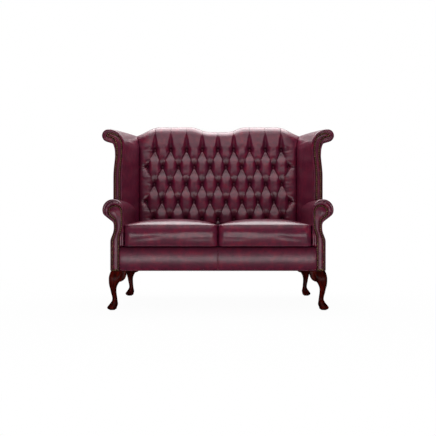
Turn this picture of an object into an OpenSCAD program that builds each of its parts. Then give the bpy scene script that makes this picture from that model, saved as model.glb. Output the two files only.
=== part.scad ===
/* [Seat frame] */
// Height of the seat frame's underside over the floor
leg_h = 218; // [190:1:250]
// Clear width between the two arms
seat_w = 1056; // [940:2:1200]
// Depth of the base, from the front rail's face to the outside back
base_d = 699; // [660:1:760]
// Height of the rails
rail_h = 100; // [85:1:115]
// Thickness of the rails
rail_t = 30; // [26:1:34]
// Height of the padded platform over the springs
deck_h = 29; // [22:1:40]

/* [Legs] */
// How far a toe stands out past the seat frame's front face
toe_reach = 33; // [28:1:40]
// Side of the square block at the top of a leg
leg_block = 72; // [64:1:80]
// Width of a leg at its ankle
ankle_w = 28; // [24:1:34]
// Width of a leg's pad foot
foot_w = 54; // [46:1:60]
// How far the rear legs stand in from the outside back
rear_leg_inset = 21; // [10:1:40]
// Length of a knee block along its rail
ear_l = 17; // [10:1:26]
// Radius of a leg bolt
bolt_r = 4; // [3:0.5:5]

/* [Seat cushions] */
// Height of a cushion's boxed sides
cushion_side_h = 118; // [90:1:140]
// Height of the crown over the top welt
cushion_crown = 36; // [20:1:48]
// Gap between a cushion and the fullest part of the back behind it
cushion_back_gap = 14; // [8:1:40]
// How far a cushion stands out past the front rail's face
cushion_overhang = 18; // [10:1:22]
// Gap between the cushions, and between a cushion and an arm
cushion_gap = 1.5; // [1:0.5:4]

/* [Arms] */
// Width of an arm at its base
arm_base_w = 73; // [66:1:84]
// Width of an arm at its neck
arm_neck_w = 56; // [52:1:60]
// Radius of the arm's scroll
arm_roll_r = 60; // [55:1:64]
// Height of the arm scroll's centre
arm_roll_z = 559; // [540:1:580]
// Radius of the facing's round head
facing_head_r = 40; // [36:1:44]

/* [Wings] */
// How far a wing's front edge stands behind the front rail's face
wing_setback = 262; // [230:1:300]
// How far the wing's inner face stands out past the arm's inner face
wing_offset = 46; // [40:1:52]
// How far the wing's front edge leans in towards its top
wing_lean = 12; // [6:1:16]
// Thickness of a wing's inside padding
wing_pad_t = 26; // [22:1:28]
// Thickness of a wing's wooden frame
wing_frame_t = 24; // [20:1:28]
// Thickness of an outside panel
panel_t = 6; // [5:0.5:7]
// How far the wing scroll's crest lies below the back's humps
wing_drop = 86; // [60:1:120]
// Height of the scroll over the straight part of a wing
scroll_h = 119; // [100:1:130]
// Height of a wing's top rail
wing_rail_h = 60; // [50:1:70]
// Reach of the wing scroll past the wing's inner face
wing_reach = 138; // [120:1:150]

/* [Back] */
// Height of the back's two humps
back_h = 1135; // [1110:1:1180]
// Dip at the centre of the back's top edge
back_dip = 33; // [15:1:50]
// Fall of the back's top edge at its two ends
shoulder_drop = 53; // [30:1:60]
// How far the outside back leans out at its top edge
back_lean = 118; // [90:1:140]
// Rake of the buttoned face, in degrees
face_rake = 10.5; // [9:0.5:12]
// Depth of the back at the lowest row of buttons
back_thick = 167; // [155:1:185]
// Distance from the outermost buttons to the arms
button_side = 55.5; // [50:0.5:75]
// Distance from one row of buttons to the next
row_pitch = 115; // [105:1:118]
// Number of rows of buttons
button_rows = 5; // [3:2:5]
// Height of the lowest row of buttons
first_row_z = 508; // [500:1:530]
// Depth of the tufting
tuft_depth = 34; // [24:1:38]
// Radius of a button
button_r = 11; // [8:1:12]

/* [Nails] */
// Radius of a nail's head
nail_r = 4.7; // [4:0.1:5]
// Distance from one nail to the next
nail_pitch = 11; // [10.5:0.5:16]

/* [Hidden] */

// Colours
leather = [0.33, 0.10, 0.18];
mahogany = [0.25, 0.03, 0.02];
timber = [0.72, 0.55, 0.36];
brass = [0.45, 0.38, 0.22];
steel = [0.55, 0.55, 0.57];
foam = [0.90, 0.86, 0.70];
cloth = [0.12, 0.11, 0.11];
jute = [0.55, 0.44, 0.30];

// Clearance between pieces that lie against each other
fit = 0.3;
// A small step that carries a cut past a face
cut = 1;

// Seat frame
half_w = seat_w / 2;
front_y = (toe_reach - base_d - back_lean) / 2;
base_rear_y = front_y + base_d;
rail_top = leg_h + rail_h;
spring_t = 3.5;
clip_t = 3;
deck_z = rail_top + spring_t + clip_t + fit;
deck_top = deck_z + deck_h;
piping_r = 2.5;

// Arms: widths are measured outwards from the arm's inner face
post_t = rail_t;
facing_t = 13;
pad_front = 8;
facing_margin = 8;
stem_inset_base = 23;
stem_inset_neck = arm_roll_r - arm_neck_w + 2;
neck_low_z = mix(leg_h, arm_roll_z, 0.68);
swell_z = mix(leg_h, arm_roll_z, 0.475);
head_u = stem_inset_neck + facing_head_r;
head_z = arm_roll_z - 12;
scroll_start = -28;
scroll_drop = 72;
arc_step = 12;
curve_steps = 6;
pad_base_z = deck_top;

// Wings
wing_y = front_y + wing_setback;
wing_h = back_h - wing_drop;
wing_base_z = arm_roll_z - 20;
lean_high_z = wing_h - scroll_h;
wing_shares = [0, 0.26, 0.565, 0.72, 0.87, 1];
wing_heights = [for (t = wing_shares) mix(wing_base_z, lean_high_z, t)];
lean_low_z = wing_heights[2];
rear_reach = 0.4;
rear_rise = 0.15;
wing_front_x = half_w + wing_offset;
wing_rear_low_x = half_w - 34;
wing_rear_high_x = half_w - 14;
wing_t = wing_pad_t + wing_frame_t + fit;
wing_low_z = arm_roll_z + arm_roll_r + 1;
wing_panel_z = lean_high_z + 32;
panel_rise = 12;
wing_facing_t = 6;

// Back
frame_t = 32;
web_t = 2;
panel_drop = 25;
roll_h = 30;
roll_d = 45;
top_rail_h = 70;
panel_top = back_h - panel_drop;
lean = back_lean / (panel_top - leg_h);
rake = atan(lean);
post_w = 46;
post_x = half_w - 2 - post_w;
back_half_w = half_w + 23;
form_base_z = deck_top;
form_rear = panel_t + frame_t + web_t + fit;
button_h = 8;
wide_row = 10;
button_pitch = 2 * (half_w - button_side) / (wide_row - 1);

// Points along a round stretch, in the X-Z plane
function arc_points(cx, cz, r, a0, a1, step) =
    let (n = ceil(abs(a1 - a0) / step))
    [for (i = [0 : n]) let (a = a0 + (a1 - a0) * i / n) [cx + r * cos(a), cz + r * sin(a)]];

// A smooth step from 0 to 1
function ease(t) = (1 - cos(180 * max(0, min(1, t)))) / 2;

function mix(a, b, t) = a + (b - a) * t;

function middle(points) = [for (k = [0 : 2]) [for (p = points) p[k]] * [for (p = points) 1] / len(points)];

// Faces between m rings of n points
function skin_sides(m, n) = [for (i = [0 : m - 2], j = [0 : n - 1])
    let (a = i * n + j, b = i * n + (j + 1) % n)
    each [[a, a + n, b + n], [a, b + n, b]]];

// Closed skin over rings of points; the two ends are fans about their own centres
module ring_skin(rings, first_centre, last_centre) {
    n = len(rings[0]);
    m = len(rings);
    points = [each [for (r = rings) each r], first_centre, last_centre];
    first_end = [for (j = [0 : n - 1]) [m * n, j, (j + 1) % n]];
    last_end = [for (j = [0 : n - 1]) [m * n + 1, (m - 1) * n + (j + 1) % n, (m - 1) * n + j]];
    polyhedron(points, concat(skin_sides(m, n), first_end, last_end), convexity = 6);
}

// Closed skin over rings of points whose ends are the given triangles of a ring
module section_skin(rings, end) {
    n = len(rings[0]);
    m = len(rings);
    points = [for (r = rings) each r];
    last_end = [for (f = end) [for (k = [2 : -1 : 0]) f[k] + (m - 1) * n]];
    polyhedron(points, concat(skin_sides(m, n), end, last_end), convexity = 6);
}

// Closed skin over sections, each a row of inner points and a row of outer points
module strip_skin(sections) {
    h = len(sections[0][0]);
    n = 2 * h;
    section_skin([for (s = sections) concat(s[0], [for (i = [h - 1 : -1 : 0]) s[1][i]])],
        [for (j = [0 : h - 2]) each [[j, j + 1, n - 2 - j], [j, n - 2 - j, n - 1 - j]]]);
}

// A solid drawn on the right, or its twin on the left
module on_side(side) {
    if (side > 0) children();
    else mirror([1, 0, 0]) children();
}

// An outline in the X-Z plane, run back from y0 to y1
module run_back(outline, y0, y1) {
    translate([0, y1, 0])
        rotate([90, 0, 0])
        linear_extrude(height = y1 - y0)
        polygon(outline);
}

// Legs

// Height, centre and half width of a leg's sections; the centre is measured from the frame's corner
function leg_sections() = [
    [1.000, -leg_block / 2, leg_block / 2, 7],
    [0.920, -leg_block / 2 + 6, leg_block / 2, 6],
    [0.840, -leg_block / 2 + 11, leg_block / 2 - 1, 5],
    [0.755, -leg_block / 2 + 14, leg_block / 2 - 3, 4],
    [0.690, -17, leg_block / 2 - 9, 3.5],
    [0.620, -14, ankle_w / 2 + 8, 3],
    [0.540, -14, ankle_w / 2 + 3.5, 2.6],
    [0.440, -16, ankle_w / 2 + 1.5, 2.3],
    [0.300, -21, ankle_w / 2, 2],
    [0.220, -20.5, ankle_w / 2 + 2.5, 2],
    [0.140, toe_reach - 49, foot_w / 2 - 3, 2.1],
    [0.070, toe_reach - 41, foot_w / 2, 2.2],
    [0.030, toe_reach - 41.5, foot_w / 2 - 2, 2.2],
    [0.014, toe_reach - 42, foot_w / 2 - 6, 2.2]];
glide_h = leg_h * 0.014;
corner_x = half_w + arm_base_w - 1;
corner_front_y = front_y - 14;
corner_rear_y = base_rear_y - rear_leg_inset;
leg_sides = 16;
bolt_in = 54;
bolt_depth = 28;
block_h = 65;
block_side = 56;

// A ring between a circle (power 2) and a square (high power)
function leg_ring(centre, half, power, z) = [for (i = [0 : leg_sides - 1])
    let (a = 360 * i / leg_sides, c = cos(a), s = sin(a),
        r = half / pow(pow(abs(c), power) + pow(abs(s), power), 1 / power))
    [centre + r * c, -centre + r * s, z]];

// A leg about its frame corner, for the front right
module leg_shape() {
    sections = leg_sections();
    count = len(sections);
    rings = [for (i = [count - 1 : -1 : 0])
        let (s = sections[i]) leg_ring(s[1], s[2], s[3], s[0] * leg_h)];
    difference() {
        ring_skin(rings, middle(rings[0]), middle(rings[count - 1]));
        translate([-bolt_in, bolt_in, leg_h - bolt_depth])
            cylinder(h = bolt_depth + cut, r = bolt_r + fit / 2, $fn = 24);
    }
}

// Puts a child drawn for the front right corner at one of the four corners
module at_corner(side, front) {
    on_side(side)
        translate([corner_x, front ? corner_front_y : corner_rear_y, 0])
        mirror([0, front ? 0 : 1, 0])
        children();
}

module at_corners() {
    for (side = [-1, 1], front = [true, false]) at_corner(side, front) children();
}

module leg(side, front) {
    color(mahogany) at_corner(side, front) leg_shape();
}

// A knee block's face: flat under the rail, hollowed towards the knee
module ear_shape() {
    ear_h = 62;
    ear_t = 36;
    hollow = [for (i = [0 : 6]) let (a = 90 * i / 6)
        [-leg_block - ear_l + 3 + (ear_l + 20) * (1 - cos(a)), leg_h - 14 - (ear_h - 14) * sin(a)]];
    outline = concat([[-leg_block + 26, leg_h - ear_h], [-leg_block + 26, leg_h],
        [-leg_block - ear_l, leg_h], [-leg_block - ear_l, leg_h - 11]], hollow);
    run_back(outline, 4, ear_t);
}

module knee_blocks() {
    color(mahogany) at_corners() {
        ear_shape();
        mirror([1, 1, 0]) ear_shape();
    }
}

module leg_glides() {
    color(cloth) at_corners()
        translate([toe_reach - 42, 42 - toe_reach, 0])
        cylinder(h = glide_h, r = foot_w / 2 - 11, $fn = 24);
}

module leg_bolts() {
    color(steel) at_corners()
        translate([-bolt_in, bolt_in, leg_h - bolt_depth + fit])
        cylinder(h = bolt_depth + block_h + 10, r = bolt_r, $fn = 24);
}

module leg_nuts() {
    washer_r = bolt_r + 4.5;
    washer_t = 2;
    nut_t = 6;
    color(steel) at_corners()
        translate([-bolt_in, bolt_in, leg_h + block_h])
        difference() {
            union() {
                cylinder(h = washer_t, r = washer_r, $fn = 24);
                translate([0, 0, washer_t]) cylinder(h = nut_t, r = bolt_r + 2.5, $fn = 6);
            }
            translate([0, 0, -cut]) cylinder(h = washer_t + nut_t + 2 * cut, r = bolt_r + fit / 2, $fn = 24);
        }
}

// Seat frame
stem_in_x = half_w + stem_inset_base;
side_rail_x = stem_in_x + 5;
post_rear_y = front_y + post_t;
rear_rail_y = base_rear_y - panel_t - rail_t;
post_base_y = base_rear_y - (panel_t + frame_t) / cos(rake);

module front_rail() {
    color(timber) translate([-stem_in_x, front_y, leg_h]) cube([2 * stem_in_x, rail_t, rail_h]);
}

module rear_rail() {
    color(timber) translate([-post_x, rear_rail_y, leg_h]) cube([2 * post_x, rail_t, rail_h]);
}

module side_rail(side) {
    color(timber) on_side(side) translate([side_rail_x, post_rear_y, leg_h])
        cube([rail_t, rear_rail_y + rail_t - post_rear_y, rail_h]);
}

module centre_bearer() {
    bearer_w = 30;
    color(timber) translate([-bearer_w / 2, front_y + rail_t, leg_h])
        cube([bearer_w, rear_rail_y - front_y - rail_t, rail_h - 18]);
}

module corner_block(y0, y1, bolt_y) {
    difference() {
        translate([side_rail_x - block_side, y0, leg_h]) cube([block_side, y1 - y0, block_h]);
        translate([corner_x - bolt_in, bolt_y, leg_h - cut])
            cylinder(h = block_h + 2 * cut, r = bolt_r + fit / 2, $fn = 24);
    }
}

module corner_blocks() {
    front_block_y = front_y + rail_t;
    color(timber) for (side = [-1, 1]) on_side(side) {
        corner_block(front_block_y, front_block_y + block_side, corner_front_y + bolt_in);
        corner_block(post_base_y - block_side, post_base_y, corner_rear_y - bolt_in);
    }
}

// Seat springs and platform
spring_count = 8;
spring_pitch = (seat_w - 56) / spring_count;
spring_amp = 20;
spring_wire = 4;
spring_waves = 8;
spring_y0 = front_y + 6;
spring_y1 = rear_rail_y + rail_t - 6;
function spring_x(i) = (i - (spring_count - 1) / 2) * spring_pitch;

// Centre line of a zig-zag spring: short runs at each side, joined by slants
function spring_line() =
    let (step = (spring_y1 - spring_y0) / (2 * spring_waves), corner = step * 0.25)
    [for (i = [0 : 2 * spring_waves - 1]) let (s = i % 2 == 0 ? 1 : -1, y = spring_y0 + i * step)
        each [[s * spring_amp, y + corner], [s * spring_amp, y + step - corner]]];

// Outline of a wire of width w along a line
function wire_outline(line, w) =
    let (n = len(line),
        ways = [for (i = [0 : n - 1]) let (d = line[min(i + 1, n - 1)] - line[max(i - 1, 0)]) d / norm(d)],
        left = [for (i = [0 : n - 1]) line[i] + [-ways[i][1], ways[i][0]] * w / 2],
        right = [for (i = [n - 1 : -1 : 0]) line[i] - [-ways[i][1], ways[i][0]] * w / 2])
    concat(left, right);

module seat_springs() {
    color(steel) for (i = [0 : spring_count - 1])
        translate([spring_x(i), 0, rail_top])
        linear_extrude(height = spring_t)
        polygon(wire_outline(spring_line(), spring_wire));
}

module spring_clips() {
    clip_w = 2 * spring_amp + spring_wire + 2;
    clip_d = 12;
    color(steel) for (i = [0 : spring_count - 1], y = [spring_y0 - 2, spring_y1 - clip_d + 2])
        translate([spring_x(i) - clip_w / 2, y, rail_top + spring_t])
        cube([clip_w, clip_d, clip_t]);
}

module seat_platform() {
    platform_w = 2 * (half_w - fit);
    color(cloth) translate([-platform_w / 2, front_y, deck_z])
        cube([platform_w, rear_rail_y - front_y - 10, deck_h]);
}

module dust_cover() {
    cover_t = 1.5;
    hem = 3;
    side_x = half_w + arm_base_w - 18;
    notch_x = corner_x - leg_block - ear_l - hem;
    front_notch = corner_front_y + leg_block + ear_l + hem;
    rear_notch = corner_rear_y - leg_block - ear_l - hem;
    color(cloth) translate([0, 0, leg_h - cover_t]) difference() {
        translate([-side_x, front_y + hem, 0])
            cube([2 * side_x, rear_rail_y + rail_t - front_y - 2 * hem, cover_t]);
        for (side = [-1, 1]) on_side(side) {
            translate([notch_x, front_y, -cut]) cube([200, front_notch - front_y, cover_t + 2 * cut]);
            translate([notch_x, rear_notch, -cut]) cube([200, 200, cover_t + 2 * cut]);
        }
    }
}

// The border's section: a shallow bulge, rounded in over the platform's edge
module front_border() {
    border_t = 9;
    bulge = 5;
    low_z = leg_h + 2 * piping_r;
    border_x = stem_in_x - fit;
    bulge_points = [for (i = [0 : 6]) let (t = i / 6)
        [front_y - border_t - bulge * sin(180 * t), mix(low_z, deck_top - border_t, t)]];
    corner_points = [for (i = [1 : 3]) let (a = 30 * i)
        [front_y - border_t * cos(a), deck_top - border_t + border_t * sin(a)]];
    section = concat([[front_y, low_z]], bulge_points, corner_points);
    seam = 1.5;
    color(leather) difference() {
        rotate([90, 0, 90])
            translate([0, 0, -border_x])
            linear_extrude(height = 2 * border_x)
            polygon(section);
        translate([0, front_y - border_t - bulge, (low_z + deck_top) / 2])
            rotate([0, 0, 45])
            cube([seam, seam, deck_top], center = true);
    }
}

module front_piping() {
    piping_x = stem_in_x - fit;
    color(leather) translate([-piping_x, front_y - piping_r - 4, leg_h + piping_r])
        rotate([0, 90, 0])
        cylinder(h = 2 * piping_x, r = piping_r, $fn = 24);
}

// Arms, drawn on the right
function outer_u(z) = mix(arm_base_w, arm_neck_w, ease((z - swell_z) / (neck_low_z - swell_z)));
function inner_u(z) = mix(stem_inset_base, stem_inset_neck, ease((z - swell_z - 20) / (neck_low_z - swell_z - 4)));
function curve_heights() = [for (i = [0 : curve_steps]) mix(swell_z, neck_low_z + 18, i / curve_steps)];

// Outline of the whole arm, from its base up the outer side, round the scroll and down
function arm_outline(base_z) =
    concat([[half_w + arm_base_w, base_z]],
        [for (z = curve_heights()) [half_w + outer_u(z), z]],
        [[half_w + arm_neck_w, arm_roll_z - scroll_drop]],
        arc_points(half_w + arm_roll_r, arm_roll_z, arm_roll_r, scroll_start, 180, arc_step),
        [[half_w, base_z]]);

// Outline of the keyhole facing, drawn in by a margin
function facing_outline(inset) =
    let (stem_u = arm_neck_w - facing_margin - inset, r = facing_head_r - inset)
    concat([[half_w + arm_base_w - facing_margin - inset, leg_h + inset]],
        [for (z = curve_heights()) [half_w + outer_u(z) - facing_margin - inset, z]],
        [[half_w + stem_u, head_z - facing_head_r * 1.2 + inset / 2]],
        arc_points(half_w + head_u, head_z, r, scroll_start, 180, arc_step),
        [for (i = [curve_steps : -1 : 0]) let (z = curve_heights()[i]) [half_w + inner_u(z) + inset, z]],
        [[half_w + stem_inset_base + inset, leg_h + inset]]);

// A block far larger than the sofa, behind the inner face of the outside back
module behind_back() {
    translate([0, base_rear_y, leg_h])
        rotate([-rake, 0, 0])
        translate([-1000, -panel_t, -300])
        cube([2000, 600, 1600]);
}

arm_rear_y = base_rear_y + back_lean;

module arm_post(side) {
    color(timber) on_side(side) run_back(facing_outline(fit), front_y, post_rear_y);
}

module arm_rail(side) {
    rail_w = 44;
    color(timber) on_side(side) difference() {
        translate([half_w + head_u - rail_w / 2, post_rear_y, head_z - facing_head_r + 18])
            cube([rail_w, arm_rear_y - post_rear_y, rail_w - 4]);
        behind_back();
    }
}

module arm_pad(side) {
    color(leather) on_side(side) difference() {
        run_back(arm_outline(leg_h), front_y - pad_front, arm_rear_y);
        run_back(facing_outline(0), front_y - pad_front - cut, arm_rear_y + cut);
        // Below the neck the outer wall is the outside panel's
        translate([half_w + stem_inset_base + 4, front_y - 2 * pad_front, 0])
            cube([100, base_d + 200, neck_low_z + 18]);
        translate([half_w - cut, front_y - 2 * pad_front, 0])
            cube([100, base_d + 200, pad_base_z]);
        behind_back();
    }
}

module arm_facing(side) {
    color(leather) on_side(side) run_back(facing_outline(fit), front_y - facing_t, front_y);
}

// The outside of the arm below its scroll: the strip between the arm's outline and the facing's
module outside_arm(side) {
    color(leather) on_side(side) difference() {
        run_back(arm_outline(leg_h), front_y - pad_front, arm_rear_y);
        run_back(facing_outline(0), front_y - pad_front - cut, arm_rear_y + cut);
        translate([half_w - cut, front_y - 2 * pad_front, 0])
            cube([stem_inset_base + 5 + cut, base_d + 200, back_h]);
        translate([half_w, front_y - 2 * pad_front, neck_low_z + 18 - fit])
            cube([200, base_d + 200, 300]);
        behind_back();
    }
}

// Distances along a line of points
function run_lengths(line) =
    [for (i = 0, s = 0; i < len(line); i = i + 1,
        s = s + (i < len(line) ? norm(line[i] - line[i - 1]) : 0)) s];

// Points at an even pitch along a line
function paced(line, pitch) =
    let (runs = run_lengths(line), total = runs[len(runs) - 1], n = floor(total / pitch),
        xs = [for (i = [0 : len(line) - 1]) [runs[i], line[i][0]]],
        zs = [for (i = [0 : len(line) - 1]) [runs[i], line[i][1]]])
    [for (i = [0 : n]) [lookup(i * total / n, xs), lookup(i * total / n, zs)]];

nail_h = 3;
nail_sides = 6;

// The low raised head of a nail, facing the front
module nail() {
    rotate([90, 0, 0]) cylinder(h = nail_h, r1 = nail_r, r2 = 0, $fn = nail_sides);
}

module arm_nails(side) {
    line = facing_outline(nail_r + 0.6);
    places = paced(concat(line, [line[0]]), nail_pitch);
    color(brass) on_side(side) for (i = [0 : len(places) - 2])
        translate([places[i][0], front_y - facing_t, places[i][1]]) nail();
}

// Wings, drawn on the right
function outside_y(z) = base_rear_y + (z - leg_h) * lean;
function wing_front(z) = wing_front_x - wing_lean * ease((z - lean_low_z) / (lean_high_z - lean_low_z));
function wing_rear(z) = mix(wing_rear_low_x, wing_rear_high_x, (z - wing_low_z) / (wing_panel_z - wing_low_z));
function wing_rear_y(z) = outside_y(z) - (panel_t + frame_t) / cos(rake);
function wing_x(z, t) = mix(wing_front(z), wing_rear(z), t);
function wing_at(u, z, t) = [wing_x(z, t) + u, mix(wing_y, wing_rear_y(z), t), z];
// The share of the wing's depth, past 1, at which it meets the outside back
function wing_end(z) = (outside_y(z) - (panel_t + fit) / cos(rake) - wing_y) / (wing_rear_y(z) - wing_y);
wing_steps = [0, 0.25, 0.5, 0.75, 1];

// Scroll of the wing: how far out and up each pair of points stands from the lean's top
scroll_in = [[1, 35], [10, 65], [30, 95], [62, 113], [95, 119], [120, 110], [134, 94], [138, 78]];
scroll_out = [[26, 20], [30, 30], [44, 35], [66, 40], [95, 43], [120, 51], [133, 64], [138, 76]];

function scroll_point(p, t, least) =
    let (reach = wing_reach / 138, rise = scroll_h / 119,
        u = max(least, p[0] * reach * mix(1, rear_reach, t)),
        z = lean_high_z + p[1] * rise * (1 + rear_rise * t))
    [wing_x(lean_high_z, t) + u, mix(wing_y, wing_rear_y(z), t * wing_end(z)), z];

function wing_section(t) = [
    concat([for (z = wing_heights) wing_at(0, z, t * wing_end(z))],
        [for (p = scroll_in) scroll_point(p, t, 0)]),
    concat([for (z = wing_heights) wing_at(wing_pad_t, z, t * wing_end(z))],
        [for (p = scroll_out) scroll_point(p, t, wing_pad_t)])];

// What the wing stands over: the arm's scroll, with a hair of clearance
module arm_below() {
    translate([half_w + arm_roll_r, wing_y - 10, arm_roll_z])
        rotate([-90, 0, 0])
        cylinder(h = arm_rear_y - wing_y + 20, r = arm_roll_r + fit, $fn = 64);
    translate([half_w - fit, wing_y - 10, leg_h])
        cube([2 * arm_roll_r, arm_rear_y - wing_y + 20, arm_roll_z - leg_h]);
}

module wing_pad(side) {
    color(leather) on_side(side) difference() {
        strip_skin([for (t = wing_steps) wing_section(t)]);
        arm_below();
        // The back's posts and top rail stand behind the padding
        on_rake(-cut)
            cube([back_half_w + fit, 1500, cut + form_rear + 2]);
    }
}

// A board or panel in the wing between two distances from its inner face
module wing_layer(u0, u1, heights, steps, top_rise = 0) {
    high = heights[len(heights) - 1];
    difference() {
        strip_skin([for (t = steps)
            let (levels = [for (z = heights) z == high ? z + top_rise * t : z])
            [for (u = [u0, u1]) [for (z = levels) wing_at(u, z, t * wing_end(z))]]]);
        arm_below();
    }
}

module wing_post(side) {
    color(timber) on_side(side)
        wing_layer(wing_pad_t + fit, wing_t, wing_heights, [0, 0.12]);
}

module wing_rail(side) {
    color(timber) on_side(side)
        wing_layer(wing_pad_t + fit, wing_t, [lean_high_z - wing_rail_h, lean_high_z], [0.1206, 1]);
}

module outside_wing(side) {
    color(leather) on_side(side)
        wing_layer(wing_t + fit, wing_t + fit + panel_t, concat(wing_heights, [wing_panel_z]), wing_steps, panel_rise);
}

// The wing facing's two edges, up to a turn in the scroll
facing_in = [[3, 34], [14, 62], [34, 86], [64, 99], [88, 99], [104, 90]];
facing_out = [[45, 15], [50, 30], [56, 46], [72, 60], [90, 66], [104, 72]];
function facing_low(u, base_z) =
    concat([wing_at(u, base_z, 0)],
        [for (t = [0.41, 0.565, 0.72, 0.87, 1]) wing_at(u, mix(wing_base_z, lean_high_z, t), 0)]);
function facing_edge(low_u, scroll, base_z) =
    concat(facing_low(low_u, base_z), [for (p = scroll) scroll_point(p, 0, 0)]);

module wing_facing(side) {
    edge_in = facing_edge(14, facing_in, arm_roll_z);
    edge_out = facing_edge(wing_t - 1, facing_out, arm_roll_z);
    color(leather) on_side(side) difference() {
        strip_skin([for (y = [-wing_facing_t, -fit / 3])
            [[for (p = edge_in) p + [0, y, 0]], [for (p = edge_out) p + [0, y, 0]]]]);
        arm_below();
    }
}

module wing_nails(side) {
    inset = nail_r + 0.6;
    low_z = wing_low_z + nail_r;
    in_scroll = [for (p = facing_in) p + [1, -inset]];
    out_scroll = [for (p = facing_out) p + [-2, inset]];
    edge_in = [for (p = facing_edge(14 + inset, in_scroll, low_z)) [p[0], p[2]]];
    edge_out = [for (p = facing_edge(wing_t - 1 - inset, out_scroll, low_z)) [p[0], p[2]]];
    last = len(edge_in) - 1;
    line = concat(edge_in, [for (i = [last : -1 : 0]) edge_out[i]]);
    color(brass) on_side(side) for (p = paced(line, nail_pitch))
        translate([p[0], wing_y - wing_facing_t, p[1]]) nail();
}

// Back

// Height of the back's top edge: a dip in the middle, two humps, then the shoulders
function top_z(x) =
    let (share = abs(x) / half_w,
        dip = back_dip * (1 - ease((share - 0.1023) / 0.2576)),
        shoulder = shoulder_drop * ease((share - 0.7973) / 0.2443))
    back_h - dip - shoulder;

function edge_z(x) = top_z(x) - panel_drop;
function face_y(z) = outside_y(first_row_z) - back_thick + tan(face_rake) * (z - first_row_z);
last_row_z = first_row_z + (button_rows - 1) * row_pitch;

// Fullness between the buttons, from 0 at a button to 1 in the middle of a diamond
function fullness(x, z) =
    let (run = min(z, last_row_z) - first_row_z,
        p = x / button_pitch + run / (2 * row_pitch),
        q = x / button_pitch - run / (2 * row_pitch),
        sp = abs(sin(180 * p)), sq = abs(sin(180 * q)),
        diamond = 0.4 * sp * sq + 0.6 * (1 - (1 - sp * sp) * (1 - sq * sq)))
    diamond;

border_x = half_w - button_side;
function border_share(x) = ease((abs(x) - border_x + button_pitch / 4) / (button_pitch / 3));
function tuft(x, z) =
    let (below = ease((first_row_z - z) / row_pitch))
    tuft_depth * mix(mix(fullness(x, max(z, first_row_z)), 0.75, border_share(x)), 0.5, below);

// Side limit of the inside back: the arm below and the wing above
side_room = 4;
function side_limit(y, z) =
    let (t = (y - wing_y) / (wing_rear_y(z) - wing_y))
    min(half_w - 2 * fit, wing_x(min(z, lean_high_z), t) - side_room);

// A point of the outside back's plane, a depth in from it, at an edge height
function rake_point(z, depth) = [outside_y(z) - depth * cos(rake), z + depth * sin(rake)];

// The section of the inside back at one x: up the face, over the roll and down behind
function back_section(x) =
    let (start_z = top_z(x) - roll_h, low = edge_z(x) + fit,
        face = [for (z = concat([form_base_z], face_heights(start_z))) [face_y(z) - tuft(x, z), z]],
        s = face[len(face) - 1],
        roll = [for (a = [30, 60, 90]) [s[0] + roll_d * (1 - cos(a)), s[1] + roll_h * sin(a)]],
        over = [roll[1], roll[2], rake_point(top_z(x) - 8, 8), rake_point(low, 0), rake_point(low, form_rear)],
        behind = [rake_point(low - 12, form_rear), rake_point(form_base_z - 5, form_rear)])
    concat(
        [for (p = concat(face, [roll[0]])) [border_place(x, side_limit(p[0], p[1])), p[0], p[1]]],
        [for (p = over) [x, p[0], p[1]]],
        [for (p = behind) [border_place(x, side_limit(p[0], p[1])), p[0], max(form_base_z, p[1])]]);

face_step = row_pitch / 4;
face_rows = 4 * (button_rows - 1) + 2;
function face_heights(start_z) =
    let (top_row = first_row_z + (face_rows - 1) * face_step)
    concat([for (i = [-1 : face_rows - 1]) first_row_z + i * face_step], [(top_row + start_z) / 2, start_z]);

back_columns = concat([-1, -0.7], [for (i = [-18 : 18]) i], [0.7, 1]);
function column_x(k) =
    let (n = len(back_columns), i = back_columns[k])
    k < 2 || k > n - 3 ? sign(i) * mix(border_x, back_half_w, abs(i)) : i * button_pitch / 4;

// Draws a column of the border in to the side limit
function border_place(x, limit) =
    abs(x) > border_x ? sign(x) * mix(border_x, limit, (abs(x) - border_x) / (back_half_w - border_x)) : x;

module inside_back() {
    count = len(back_columns);
    rings = [for (k = [count - 1 : -1 : 0]) back_section(column_x(k))];
    // An end is a fan from the back's upper corner b to the face, then the shoulder's underside and its flat end
    b = len(rings[0]) - 2;
    face = [for (i = [0 : b - 7]) [b, i, i + 1]];
    shoulder = [for (i = [b - 4 : b - 2]) [b - 5, i, i + 1]];
    end = concat([[b, b + 1, 0]], face, [[b, b - 6, b - 5], [b, b - 5, b - 1]], shoulder);
    color(leather) section_skin(rings, end);
}

module back_buttons() {
    color(leather) for (row = [0 : button_rows - 1]) {
        wide = row % 2;
        z = first_row_z + row * row_pitch;
        for (i = [-4 - wide : 4]) {
            x = (i + wide / 2) * button_pitch;
            translate([x, face_y(z) + 2, z])
                rotate([90 - face_rake, 0, 0])
                cylinder(h = button_h, r1 = button_r, r2 = button_r * 0.6, $fn = 6);
        }
    }
}

// Places a child drawn in the outside back's plane: X across, Y up the rake, Z forwards
module on_rake(depth) {
    translate([0, base_rear_y, leg_h])
        rotate([90 - rake, 0, 0])
        translate([0, 0, depth])
        children();
}

function up_rake(z) = (z - leg_h) / cos(rake);
edge_columns = [for (i = [0 : len(back_columns) - 1]) column_x(i)];
top_rail_low = up_rake(edge_z(back_half_w) - top_rail_h);
bottom_rail_low = up_rake(deck_top) + 10;
bottom_rail_h = 70;

// The top edge from left to right, in the rake's plane
function top_edge() = [for (x = edge_columns) [x, up_rake(edge_z(x))]];

module back_top_rail() {
    color(timber) on_rake(panel_t)
        linear_extrude(height = frame_t)
        polygon(concat(top_edge(), [[back_half_w, top_rail_low], [-back_half_w, top_rail_low]]));
}

module back_post(side) {
    color(timber) on_side(side) on_rake(panel_t)
        translate([post_x, 0, 0])
        cube([post_w, top_rail_low, frame_t]);
}

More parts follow.
